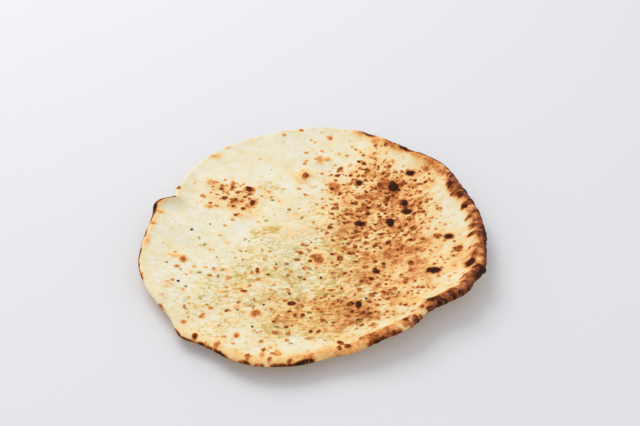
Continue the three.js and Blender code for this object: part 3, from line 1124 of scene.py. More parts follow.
    def scorch(self, at: RimPlaces, state: SkinState) -> None:
        """Burns the rim's outer face from below: dark brown up to a ragged line, with a film of soot where
        it is puffed, and black up to a lower line.

        Args:
            at: The places.
            state: What is burnt.
        """
        face = np.clip(round_the_edge(self.base_face, self.faces, at.angle) + 0.3 * at.wander, 0, 1)
        ragged = (1.1 + 0.9 * at.puff) * at.wander + (0.2 + 1.2 * at.puff) * at.fold
        depth = round_the_edge(self.base_depth, self.depths, at.angle) + ragged
        scorched = face * smooth(depth + 0.9 + 0.9 * at.puff - at.inside, 0, 0.8 + 1.4 * at.puff)
        state.darken(scorched, self.scorched_toast + 0.05 * at.fold + 0.1 * at.crackle)
        film = scorched * at.puff * smooth(at.crackle - 0.5 * at.wander, 0.5, -0.5)
        state.soot = np.maximum(state.soot, film)
        black_depth = depth * (1 - 0.5 * at.puff) + 0.5
        burnt = smooth(face, 0.15, 0.7) * smooth(black_depth - at.inside, 0, 0.9 + 0.6 * at.puff)
        state.darken(burnt, self.burnt_toast + 0.1 * at.fold + 0.06 * at.crackle)
        char = burnt * smooth(at.wander + 0.6 * at.fold + 0.5 * at.crackle, 0.1, 0.9)
        state.char = np.maximum(state.char, char)

    def add(self, form: BreadForm, angle: Array, inside: Array, state: SkinState) -> None:
        """Bakes the rim. Where it is puffed it is crimped: dark raised spots with lighter folds between
        them, and a crackled crust.

        Args:
            form: The bread's form.
            angle: Radians.
            inside: Millimetres from the outermost line inwards, less than 0 on the rim's lower half.
            state: What it is added to.
        """
        at = self.places(form, angle, inside)
        cover = self.toast_band(form, at, state)
        self.dark_spots(form, at, state)
        state.raised += at.puff * cover * (0.45 * at.fold + 0.35 * (at.wander - 0.3))
        self.scorch(at, state)
        state.raised += 0.3 * at.puff * cover * at.crackle


@dataclass(frozen=True)
class Skin:
    """The naan's skin: works out relief and baking at any place of the top, the rim or the underside."""

    form: BreadForm = BreadForm()
    stretch: Stretch = Stretch()
    patches: PatchBake = PatchBake()
    marks: MarkBake = MarkBake()
    blisters: BlisterBake = BlisterBake()
    rim: RimBake = RimBake()
    spot_fields: tuple[SpotField, ...] = (
        SpotField(15, 100, 0.12, 0.26, 1.5, (0.36, 0.58), 0.8),
        SpotField(9.5, 200, 0.17, 0.32, 1.4, (0.54, 0.84), 0.6),
        SpotField(6.8, 300, 0.22, 0.36, 1.4, (0.56, 0.86), 0.45),
        SpotField(4.6, 400, 0.24, 0.38, 1.3, (0.46, 0.72), 0.25),
    )
    top_shares: tuple[float, ...] = (0.3, 0.7, 0.85, 0.6)
    under_shares: tuple[float, ...] = (0.4, 0.3, 0.25, 0.2)
    under_seed_step: int = 1000
    plain_toast: float = 0.07
    plain_spots: float = 0.025
    plain_butter: float = 0.16
    least_toast: float = 0.03
    zone_wander: float = 11
    zone_wanders: tuple[Noise, Noise] = (Noise(30, 11, 3), Noise(30, 12, 3))
    top_broad: Noise = Noise(24, 51, 3)
    top_fine: Noise = Noise(6, 52, 3)
    top_grain: Noise = Noise(12, 53, 2)
    top_fine_grain: Noise = Noise(4, 54, 2)
    top_sag: Noise = Noise(48, 55, 2)
    top_flour: Noise = Noise(19, 56, 2)
    under_broad: Noise = Noise(38, 61, 3)
    under_fine: Noise = Noise(9, 62, 3)
    under_flour: Noise = Noise(15, 63, 3)
    under_edge: float = 8

    def zones(self, x: Array, y: Array) -> tuple[Array, Array, Array]:
        """What the zones give at each place. The places first wander by noise, for uneven edges.

        Args:
            x: Millimetres along X.
            y: Millimetres along Y.

        Returns:
            The toast, the density of spots and the butter.
        """
        wander_x = x + self.zone_wander * self.zone_wanders[0].on(x, y)
        wander_y = y + self.zone_wander * self.zone_wanders[1].on(x, y)
        toast = np.full_like(x, self.plain_toast)
        spots = np.full_like(x, self.plain_spots)
        butter = np.full_like(x, self.plain_butter)
        for zone in TOP_ZONES:
            cover = zone.cover(wander_x, wander_y)
            toast += zone.toast * cover
            spots += zone.spots * cover
            butter += zone.butter * cover
        return np.clip(toast, self.least_toast, 1), np.clip(spots, 0, 1), np.clip(butter, 0, 1)

    def density(self, factor: float) -> Callable[[Array, Array], Array]:
        """The density of spots, times a factor, as a function of place."""
        return lambda x, y: self.zones(x, y)[1] * factor

    def top(self, x: Array, y: Array, angle: Array, inside: Array, points: Array) -> SkinState:
        """The state of the upper skin.

        Args:
            x: Coordinates of the feet of the points, in millimetres along the underside.
            y: The same.
            angle: Radians.
            inside: Millimetres from the outermost line inwards.
            points: The points, which lie further in than their feet where the edge curls up.

        Returns:
            The state at each place.
        """
        toast, spots, butter = self.zones(x, y)
        unrolled = self.stretch.unrolled(x, y)
        broad, fine = self.top_broad.on(x, y), self.top_fine.at(unrolled)
        toast = np.clip(toast * (1 + 0.3 * broad + 0.3 * fine) + 0.03 * fine + 0.02 * broad, 0, 1)
        grain = 0.22 * self.top_grain.at(unrolled) + 0.1 * self.top_fine_grain.at(unrolled)
        sag = 0.8 * self.top_sag.on(x, y)
        state = SkinState.clean(grain + sag, toast, butter, 0.1 + 0.9 * spots)
        self.patches.add(unrolled, spots, state)
        for layer, factor in zip(self.spot_fields, self.top_shares):
            spot, tone, height = layer.over(x, y, self.density(factor), self.stretch.lie)
            halo = smooth(spot, 0, 0.25) * 0.4
            state.toast = np.maximum(state.toast, (0.18 + 0.32 * tone) * halo + state.toast * (1 - halo))
            state.darken(smooth(spot, 0.06, 0.36), tone * (0.7 + 0.3 * smooth(spots, 0.1, 0.55)))
            state.raised += height * smooth(spot, 0, 0.7)
        floury = (1 - spots) * (1 - 0.5 * butter) * (1 - 0.75 * smooth(x, 5, 85))
        state.flour = 0.9 * floury * smooth(self.top_flour.on(x, y), -0.4, 0.6)
        self.marks.add(points[:, 0], points[:, 1], state)
        self.rim.add(self.form, angle, inside, state)
        self.blisters.add(x, y, state)
        state.flour *= 1 - smooth(state.toast, 0.32, 0.55) * (1 - 0.5 * smooth(12 - inside, 0, 6))
        return state

    def underside(self, x: Array, y: Array, angle: Array, inside: Array) -> SkinState:
        """The state of the side that lay on the oven's wall: golden, with darker contact spots and flour.

        Args:
            x: Plan coordinates in millimetres.
            y: Plan coordinates in millimetres.
            angle: Radians.
            inside: Millimetres from the outermost line inwards.

        Returns:
            The state at each place. It never stands out below the flat spot.
        """
        broad, fine = self.under_broad.on(x, y), self.under_fine.on(x, y)
        toast = np.clip(0.2 + 0.13 * broad + 0.07 * fine, 0.02, 1)
        state = SkinState.clean(-0.12 - 0.1 * fine, toast, np.zeros_like(x), np.full_like(x, 0.5))
        for layer, factor in zip(self.spot_fields, self.under_shares):
            lower = replace(layer, seed=layer.seed + self.under_seed_step)
            spot, tone, _ = lower.over(x, y, everywhere(factor), self.stretch.lie)
            core = smooth(spot, 0.05, 0.4)
            state.darken(core, tone)
            state.raised -= 0.15 * core
        state.flour = 0.6 * smooth(self.under_flour.on(x, y), 0.0, 0.8)
        face = np.clip(round_the_edge(0.1, self.rim.faces, angle) + 0.2 * fine, 0, 1)
        near = smooth(self.under_edge - inside, 0, self.under_edge)
        state.darken(face * near, 0.86 + 0.06 * fine)
        state.darken(near, 0.4 + 0.1 * fine)
        state.raised = np.minimum(state.raised, 0)
        return state

    def top_place(self, x: Array, y: Array) -> Array:
        """Points of the finished upper skin over plan places.

        Args:
            x: Plan coordinates in millimetres, about the outline's middle.
            y: The same.

        Returns:
            Rows of three coordinates, raised by the relief.
        """
        angle = np.arctan2(y, x)
        share = self.form.share_at(np.hypot(x, y), angle)
        foot = self.form.off_underside(share, angle, self.form.thickness(share, angle), np.zeros_like(x))
        state = self.top(x, y, angle, self.form.edge_radius(angle) - np.hypot(x, y), foot)
        foot[:, 2] += state.raised
        return foot


# ---------------------------------------------------------------- Mesh making


def ring_band(inner_first: int, inner_count: int, outer_first: int, outer_count: int) -> Array:
    """The triangles between two neighbouring rings of points, which step along whichever ring is behind in
    angle. The steps of both rings are sorted by the share of the turn that each completes, the outer ring's
    first where they are equal. A ring of one point is a pole and has no steps.

    Args:
        inner_first: Number of the inner ring's first point.
        inner_count: How many points it has.
        outer_first: Number of the outer ring's first point.
        outer_count: How many points it has.

    Returns:
        Rows of three point numbers, which face outwards where outer is further along the surface.
    """
    inner_steps = inner_count if inner_count > 1 else 0
    outer_steps = outer_count if outer_count > 1 else 0
    outer_ends = np.arange(1, outer_steps + 1) / outer_count
    inner_ends = np.arange(1, inner_steps + 1) / inner_count
    is_outer = np.concatenate([np.ones(outer_steps, bool), np.zeros(inner_steps, bool)])
    order = np.argsort(np.round(np.concatenate([outer_ends, inner_ends]), 9), kind="stable")
    is_outer = is_outer[order]
    outer_done = np.cumsum(is_outer) - is_outer
    inner_done = np.cumsum(~is_outer) - ~is_outer
    a = inner_first + inner_done % inner_count
    b = outer_first + outer_done % outer_count
    next_outer = outer_first + (outer_done + 1) % outer_count
    next_inner = inner_first + (inner_done + 1) % inner_count
    return np.stack([a, b, np.where(is_outer, next_outer, next_inner)], axis=-1)


def stitched(counts: Sequence[int]) -> Array:
    """The triangles between each ring of points and the next.

    Args:
        counts: How many points each ring has, in order.

    Returns:
        Rows of three point numbers.
    """
    first = np.concatenate([[0], np.cumsum(counts)[:-1]])
    pairs = zip(first, counts, first[1:], counts[1:])
    return np.concatenate([ring_band(*pair) for pair in pairs])


def corner_normals(points: Array, triangles: Array) -> Array:
    """Unit normals at the points: the sum of the cross products of the triangles round each.

    Args:
        points: Rows of three coordinates.
        triangles: Rows of three point numbers.

    Returns:
        Rows of three coordinates.
    """
    a, b, c = (points[triangles[:, i]] for i in range(3))
    across = np.cross(b - a, c - a)
    total = np.zeros_like(points)
    for axis in range(3):
        for corner in range(3):
            total[:, axis] += np.bincount(triangles[:, corner], across[:, axis], len(points))
    return total / np.linalg.norm(total, axis=1, keepdims=True)


def new_piece(name: str, points: Array, triangles: Array, material: bpy.types.Material) -> bpy.types.Object:
    """A smooth-shaded mesh object at the origin.

    Args:
        name: The piece's name.
        points: Rows of three coordinates in millimetres.
        triangles: Rows of three point numbers.
        material: Its material.

    Returns:
        The object, linked to the scene.
    """
    mesh = bpy.data.meshes.new(name)
    mesh.vertices.add(len(points))
    mesh.vertices.foreach_set("co", (points * MM).astype(np.float32).ravel())
    mesh.loops.add(triangles.size)
    mesh.loops.foreach_set("vertex_index", triangles.astype(np.int32).ravel())
    mesh.polygons.add(len(triangles))
    mesh.polygons.foreach_set("loop_start", np.arange(0, triangles.size, 3, dtype=np.int32))
    mesh.polygons.foreach_set("use_smooth", np.ones(len(triangles), bool))
    mesh.materials.append(material)
    mesh.update(calc_edges=True)
    mesh.validate()
    piece = bpy.data.objects.new(name, mesh)
    bpy.context.scene.collection.objects.link(piece)
    return piece


def set_attribute(piece: bpy.types.Object, name: str, values: Array) -> None:
    """Stores one number for each point of a piece, for its material to read."""
    attribute = piece.data.attributes.new(name, "FLOAT", "POINT")
    attribute.data.foreach_set("value", values.astype(np.float32))


# ---------------------------------------------------------------- Finishes


STORED = ("toast", "char", "butter", "specks", "flour", "soot")  # what the bread's mesh keeps of its skin


class Graph:
    """A material's nodes. Inputs are given as numbers, colours or other nodes' sockets."""

    columns = 20
    column_width = 220
    row_height = 180

    def __init__(self, name: str) -> None:
        """Starts an empty material with an output.

        Args:
            name: The material's name.
        """
        self.material = bpy.data.materials.new(name)
        self.material.use_nodes = True
        self.tree = self.material.node_tree
        self.tree.nodes.clear()
        self.output = self.tree.nodes.new("ShaderNodeOutputMaterial")
        self.made = 0

    def node(self, kind: str, inputs: dict, **settings: object) -> bpy.types.Node:
        """Adds a node, in the next column of the layout or at the start of a new row.

        Args:
            kind: Its Blender type, without ShaderNode.
            inputs: Input name or number to a value or a socket.
            settings: Its properties.

        Returns:
            The node.
        """
        made = self.tree.nodes.new("ShaderNode" + kind)
        row, column = divmod(self.made, self.columns)
        made.location = ((column - self.columns) * self.column_width, -row * self.row_height)
        self.made += 1
        for key, value in settings.items():
            setattr(made, key, value)
        for key, value in inputs.items():
            if isinstance(value, bpy.types.NodeSocket):
                self.tree.links.new(value, made.inputs[key])
            else:
                made.inputs[key].default_value = value
        return made

    def math(self, operation: str, *values: Union[float, Socket]) -> Socket:
        """The result of a sum on numbers and sockets."""
        return self.node("Math", dict(enumerate(values)), operation=operation).outputs[0]

    def plus(self, value: Socket, factor: Union[float, Socket], more: Union[float, Socket]) -> Socket:
        """A value times a factor plus more."""
        return self.math("MULTIPLY_ADD", value, factor, more)

    def ramped(self, value: Socket, low: float, high: float, first: float = 0, last: float = 1) -> Socket:
        """A smooth step of a value, from first where it is low to last where it is high."""
        inputs = {0: value, 1: low, 2: high, 3: first, 4: last}
        return self.node("MapRange", inputs, interpolation_type="SMOOTHSTEP").outputs[0]

    def place(self) -> Socket:
        """The Object coordinates."""
        return self.node("TexCoord", {}).outputs["Object"]

    def attribute(self, name: str) -> Socket:
        """The number stored under a name at each point of the piece."""
        return self.node("Attribute", {}, attribute_name=name).outputs["Fac"]

    def coloured(self, value: Socket, stops: Sequence[tuple[float, Colour]]) -> Socket:
        """A value turned into a colour by a ramp.

        Args:
            value: From 0 to 1.
            stops: The ramp's places and their colours.

        Returns:
            The colour.
        """
        made = self.node("ValToRGB", {0: value})
        ramp = made.color_ramp
        while len(ramp.elements) < len(stops):
            ramp.elements.new(0.5)
        for element, (at, colour) in zip(ramp.elements, stops):
            element.position = at
            element.color = (*colour, 1)
        return made.outputs[0]

    def mixed(self, share: object, first: object, second: object, blend: str = "MIX") -> Socket:
        """Two colours mixed by the second's share."""
        made = self.node("Mix", {0: share, 6: first, 7: second}, data_type="RGBA", blend_type=blend)
        return made.outputs[2]

    def noise(self, coordinates: Socket, scale: float, detail: float = 2, roughness: float = 0.5) -> Socket:
        """Blender's noise, from 0 to 1, at a scale in cells to the metre."""
        inputs = {"Vector": coordinates, "Scale": scale, "Detail": detail, "Roughness": roughness}
        return self.node("TexNoise", inputs).outputs["Fac"]

    def bumped(self, height: Socket, strength: float, metres: float) -> Socket:
        """The surface's direction where a height from 0 to 1 stands out by so many metres."""
        return self.node("Bump", {"Strength": strength, "Distance": metres, "Height": height}).outputs[0]

    def shaded(
        self,
        colour: Socket,
        rough: Union[float, Socket],
        gloss: Union[float, Socket],
        bump: Optional[Socket] = None,
    ) -> bpy.types.Material:
        """Gives the material its surface.

        Args:
            colour: Its colour.
            rough: Its roughness, from 0 to 1.
            gloss: How strongly it reflects, from 0 to 1.
            bump: The surface's direction, where it isn't the mesh's own.

        Returns:
            The finished material.
        """
        inputs = {"Base Color": colour, "Roughness": rough, "Specular IOR Level": gloss}
        if bump is not None:
            inputs["Normal"] = bump
        shader = self.node("BsdfPrincipled", inputs)
        self.tree.links.new(shader.outputs[0], self.output.inputs[0])
        return self.material


@dataclass(frozen=True)
class FleckLayer:
    """Small darker patches in the crust's colour: cells to the metre, the noise above which a patch stands,
    how far that falls where specks are dense, and how strong the patches are."""

    per_metre: float
    threshold: float
    fall: float
    strength: float


@dataclass(frozen=True)
class CrustSockets:
    """What the crust's colours are worked out from: Object coordinates, coordinates pulled with the dough,
    the piece's attributes, three noises about zero, and a broad one from 0 to 1, the tone."""

    place: Socket
    pulled: Socket
    toast: Socket
    char: Socket
    butter: Socket
    specks: Socket
    flour: Socket
    soot: Socket
    grain: Socket
    pores: Socket
    mottle: Socket
    tone: Socket


@dataclass(frozen=True)
class BreadFinish:
    """Baked dough: a ramp of toast from pale to black, another where butter soaked in, mottled patches,
    small specks, oil dots, fine streaks and a fine grain, under a film of soot and a dusting of flour.
    Charred and buttered places are a little glossier."""

    toast_stops: tuple[tuple[float, Colour], ...] = (
        (0.0, srgb(246, 241, 220)),
        (0.12, srgb(244, 231, 194)),
        (0.24, srgb(250, 219, 160)),
        (0.36, srgb(249, 200, 130)),
        (0.48, srgb(232, 158, 90)),
        (0.6, srgb(198, 114, 58)),
        (0.74, srgb(144, 72, 30)),
        (0.87, srgb(82, 36, 10)),
        (1.0, srgb(38, 23, 15)),
    )
    butter_stops: tuple[tuple[float, Colour], ...] = (
        (0.0, srgb(230, 220, 164)),
        (0.12, srgb(222, 202, 130)),
        (0.24, srgb(218, 186, 102)),
        (0.36, srgb(214, 164, 78)),
        (0.48, srgb(200, 142, 64)),
        (0.6, srgb(176, 108, 46)),
        (0.74, srgb(132, 72, 28)),
        (0.87, srgb(76, 48, 18)),
        (1.0, srgb(38, 28, 18)),
    )
    flour_colour: Colour = srgb(243, 243, 233)
    soot_colour: Colour = srgb(112, 68, 58)
    oil_dot_colour: Colour = srgb(190, 156, 78)
    grain_per_metre: float = 280
    pores_per_metre: float = 900
    mottle_per_metre: float = 110
    tone_per_metre: float = 60
    specks_per_metre: float = 210
    oil_dots_per_metre: float = 230
    soaking_per_metre: float = 250
    dust_per_metre: float = 240
    shade_per_metre: float = 38
    fleck_layers: tuple[FleckLayer, ...] = (
        FleckLayer(150, 0.75, 0.13, 0.8),
        FleckLayer(340, 0.73, 0.12, 0.5),
    )
    streaks_per_metre: tuple[float, float, float] = (60, 330, 120)
    oil_dot_shortening: tuple[float, float, float] = (0.42, 1, 1)
    bump_strength: float = 0.6
    bump_metres: float = 0.0008

    def sockets(self, g: Graph) -> CrustSockets:
        """What the crust's colours start from.

        Args:
            g: The material's nodes.

        Returns:
            The sockets of the place, the stored values and the noises.
        """
        place = g.place()
        pulled = g.node("Attribute", {}, attribute_name="pulled").outputs["Vector"]
        stored = [g.attribute(name) for name in STORED]
        grain = g.math("SUBTRACT", g.noise(place, self.grain_per_metre, 4, 0.6), 0.5)
        pores = g.math("SUBTRACT", g.noise(place, self.pores_per_metre, 2), 0.5)
        mottle = g.math("SUBTRACT", g.noise(pulled, self.mottle_per_metre, 4, 0.6), 0.5)
        tone = g.noise(pulled, self.tone_per_metre, 2)
        return CrustSockets(place, pulled, *stored, grain, pores, mottle, tone)

    def flecked(self, g: Graph, at: CrustSockets, level: Socket, layer: FleckLayer) -> Socket:
        """Adds patches where noise is above a threshold that falls with the density of specks.

        Args:
            g: The material's nodes.
            at: What it is worked out from.
            level: How toasted the crust is so far.
            layer: The patches.

        Returns:
            The level with them.
        """
        value = g.noise(at.pulled, layer.per_metre, 4, 0.62)
        over = g.plus(at.specks, layer.fall, g.math("SUBTRACT", value, layer.threshold))
        cover = g.math("MULTIPLY", g.ramped(over, 0.0, 0.05), layer.strength)
        dark = g.plus(at.tone, 0.25, g.plus(at.specks, 0.38, 0.22))
        gap = g.math("MAXIMUM", g.math("SUBTRACT", dark, level), 0.0)
        return g.plus(gap, cover, level)

    def specks(self, g: Graph, at: CrustSockets) -> Socket:
        """Round specks, one to a cell at most, with more and larger ones where they stand thickly.

        Args:
            g: The material's nodes.
            at: What it is worked out from.

        Returns:
            Their strength, from 0 to 1.
        """
        cells = g.node("TexVoronoi", {"Vector": at.place, "Scale": self.specks_per_metre})
        drawn = g.node("SeparateColor", {0: cells.outputs["Color"]}).outputs[0]
        reach = g.math("MULTIPLY", g.math("MULTIPLY", drawn, at.specks), 0.4)
        distance = g.math("ADD", cells.outputs["Distance"], g.math("MULTIPLY", at.grain, 0.6))
        return g.ramped(g.math("SUBTRACT", distance, reach), 0.0, -0.14)

    def streaks(self, g: Graph, at: CrustSockets) -> Socket:
        """Fine darker streaks along the pulled dough where it is buttered: narrow ridges of long noise.

        Args:
            g: The material's nodes.
            at: What it is worked out from.

        Returns:
            How much darker they are.
        """
        stretched = g.node("Mapping", {"Vector": at.pulled, "Scale": self.streaks_per_metre}).outputs[0]
        ridge = g.math("ABSOLUTE", g.math("SUBTRACT", g.noise(stretched, 1, 3), 0.5))
        return g.math("MULTIPLY", g.ramped(ridge, 0.04, 0.0), g.math("MULTIPLY", at.butter, 0.2))

    def level(self, g: Graph, at: CrustSockets, burnt: Socket) -> Socket:
        """How toasted the crust looks, from 0 for pale to 1 for black.

        Args:
            g: The material's nodes.
            at: What it is worked out from.
            burnt: How burnt it is.

        Returns:
            The stored toast with grain, mottle, pores, flecks, specks and streaks added, or the char, which
            stays a little off black, with lighter grain patches that are painted highlight.
        """
        uneven = g.plus(at.toast, 0.8, 0.12)
        level = g.plus(at.grain, uneven, at.toast)
        level = g.plus(at.mottle, g.plus(at.specks, 0.35, 0.16), level)
        level = g.plus(at.pores, g.math("MULTIPLY", uneven, 0.5), level)
        for layer in self.fleck_layers:
            level = self.flecked(g, at, level, layer)
        level = g.plus(self.specks(g, at), g.plus(at.specks, 0.24, 0.06), level)
        level = g.math("ADD", level, self.streaks(g, at))
        # painted highlight: the char's floor is a little off black, and the grain lifts lighter patches over
        # it
        return g.math("MAXIMUM", level, g.plus(burnt, 0.97, -0.02))

    def soaked(self, g: Graph, at: CrustSockets, level: Socket) -> Socket:
        """Patches where butter soaked in, larger where it lies thickly and faded on dark crust.

        Args:
            g: The material's nodes.
            at: What it is worked out from.
            level: How toasted the crust is.

        Returns:
            Their strength, from 0 to 1.
        """
        thick = g.plus(at.butter, 0.14, g.noise(at.pulled, self.soaking_per_metre, 4, 0.6))
        soaked = g.math("MULTIPLY", g.ramped(at.butter, 0.0, 0.8), g.ramped(thick, 0.58, 0.72))
        return g.math("MULTIPLY", soaked, g.ramped(level, 0.6, 0.36))

    def oil_dots(self, g: Graph, at: CrustSockets) -> Socket:
        """Small oily dots, pulled long with the dough, each with a size and a strength of its own.

        Args:
            g: The material's nodes.
            at: What it is worked out from.

        Returns:
            Their strength, from 0 to 1.
        """
        shorter = g.node("Mapping", {"Vector": at.pulled, "Scale": self.oil_dot_shortening}).outputs[0]
        dots = g.node("TexVoronoi", {"Vector": shorter, "Scale": self.oil_dots_per_metre})
        chance = g.node("SeparateColor", {0: dots.outputs["Color"]})
        size = g.plus(g.math("MULTIPLY", chance.outputs[0], at.butter), 0.7, -0.12)
        gap = g.math("SUBTRACT", g.plus(at.grain, 0.7, dots.outputs["Distance"]), size)
        strength = g.plus(chance.outputs[1], 0.5, 0.3)
        strength = g.math("MULTIPLY", strength, g.ramped(at.mottle, -0.12, 0.1))
        return g.math("MULTIPLY", g.ramped(gap, 0.04, -0.14), strength)

    def soot_film(self, g: Graph, at: CrustSockets, burnt: Socket) -> Socket:
        """Reddish brown soot, in a mottled film that is thin on char."""
        film = g.math("MULTIPLY", at.soot, g.ramped(at.mottle, -0.2, 0.1, 0.15, 0.6))
        return g.math("MULTIPLY", film, g.plus(burnt, -0.8, 1.0))

    def dust(self, g: Graph, at: CrustSockets, level: Socket) -> Socket:
        """Flour, in patches, which doesn't show on the darkest crust."""
        patches = g.ramped(g.noise(at.pulled, self.dust_per_metre, 4, 0.65), 0.46, 0.62)
        return g.math("MULTIPLY", g.math("MULTIPLY", at.flour, patches), g.ramped(level, 0.85, 0.6))

    def build(self) -> bpy.types.Material:
        """Builds the finish from the piece's attributes and Object coordinates.

        Returns:
            The material.
        """
        g = Graph("baked_naan")
        at = self.sockets(g)
        # how burnt, broken by the grain; it makes charred places glossier, and in the colour it sets the
        # char's floor, whose lighter patches are painted highlight
        burnt = g.ramped(g.plus(at.grain, 0.5, at.char), 0.25, 0.75)
        level = self.level(g, at, burnt)
        soaked = self.soaked(g, at, level)
        colour = g.mixed(soaked, g.coloured(level, self.toast_stops), g.coloured(level, self.butter_stops))
        colour = g.mixed(self.oil_dots(g, at), colour, (*self.oil_dot_colour, 1))
        colour = g.mixed(self.soot_film(g, at, burnt), colour, (*self.soot_colour, 1))
        colour = g.mixed(self.dust(g, at, level), colour, (*self.flour_colour, 1))
        shade = g.ramped(g.noise(at.place, self.shade_per_metre, 3), 0.3, 0.7, 0.97, 1.02)
        grey = g.node("CombineColor", {0: shade, 1: shade, 2: shade}).outputs[0]
        colour = g.mixed(1.0, colour, grey, "MULTIPLY")

        rough = g.plus(soaked, -0.22, g.plus(burnt, -0.14, 0.8))
        rough = g.plus(at.grain, 0.25, rough)
        height = g.plus(level, 0.6, g.plus(at.pores, 0.3, at.grain))
        bump = g.bumped(height, self.bump_strength, self.bump_metres)
        return g.shaded(colour, rough, g.plus(soaked, 0.22, 0.1), bump)


@dataclass(frozen=True)
class ToppingFinish:
    """A small topping's finish: two colours blotched together, a roughness and a crinkled surface."""

    name: str
    light: Colour
    dark: Colour
    blotches_per_metre: float
    roughness: float
    crinkle: float
    gloss: float = 0.2
    bump_metres: float = 0.0003

    def build(self) -> bpy.types.Material:
        """Builds the finish from Object coordinates and a tone drawn for each bit.

        Returns:
            The material.
        """
        g = Graph(self.name)
        blotch = g.noise(g.place(), self.blotches_per_metre, 3, 0.6)
        tone = g.plus(g.attribute("tone"), 0.5, -0.25)
        share = g.ramped(g.math("ADD", blotch, tone), 0.3, 0.7)
        colour = g.mixed(share, (*self.dark, 1), (*self.light, 1))
        rough = g.plus(blotch, 0.25, self.roughness - 0.12)
        return g.shaded(colour, rough, self.gloss, g.bumped(blotch, self.crinkle, self.bump_metres))


# ---------------------------------------------------------------- The bread


@dataclass(frozen=True)
class Ring:
    """A ring of points about the middle: how many, their share of the way out to the crest, and their turn,
    which is 1 on top, -1 below and between them on the rolled rim."""

    count: int
    share: float
    turn: float


@dataclass(frozen=True)
class PlainSkin:
    """The plain form as a mesh: points, triangles, and each point's share, turn and angle in radians."""

    points: Array
    triangles: Array
    share: Array
    turn: Array
    angle: Array

    def on_rim(self) -> Array:
        """Which points lie on the rolled rim."""
        return self.share == 1.0


@dataclass(frozen=True)
class Disc:
    """A round part of the square in which skin is unrolled: its middle, along both axes, and radius."""

    middle: float
    radius: float


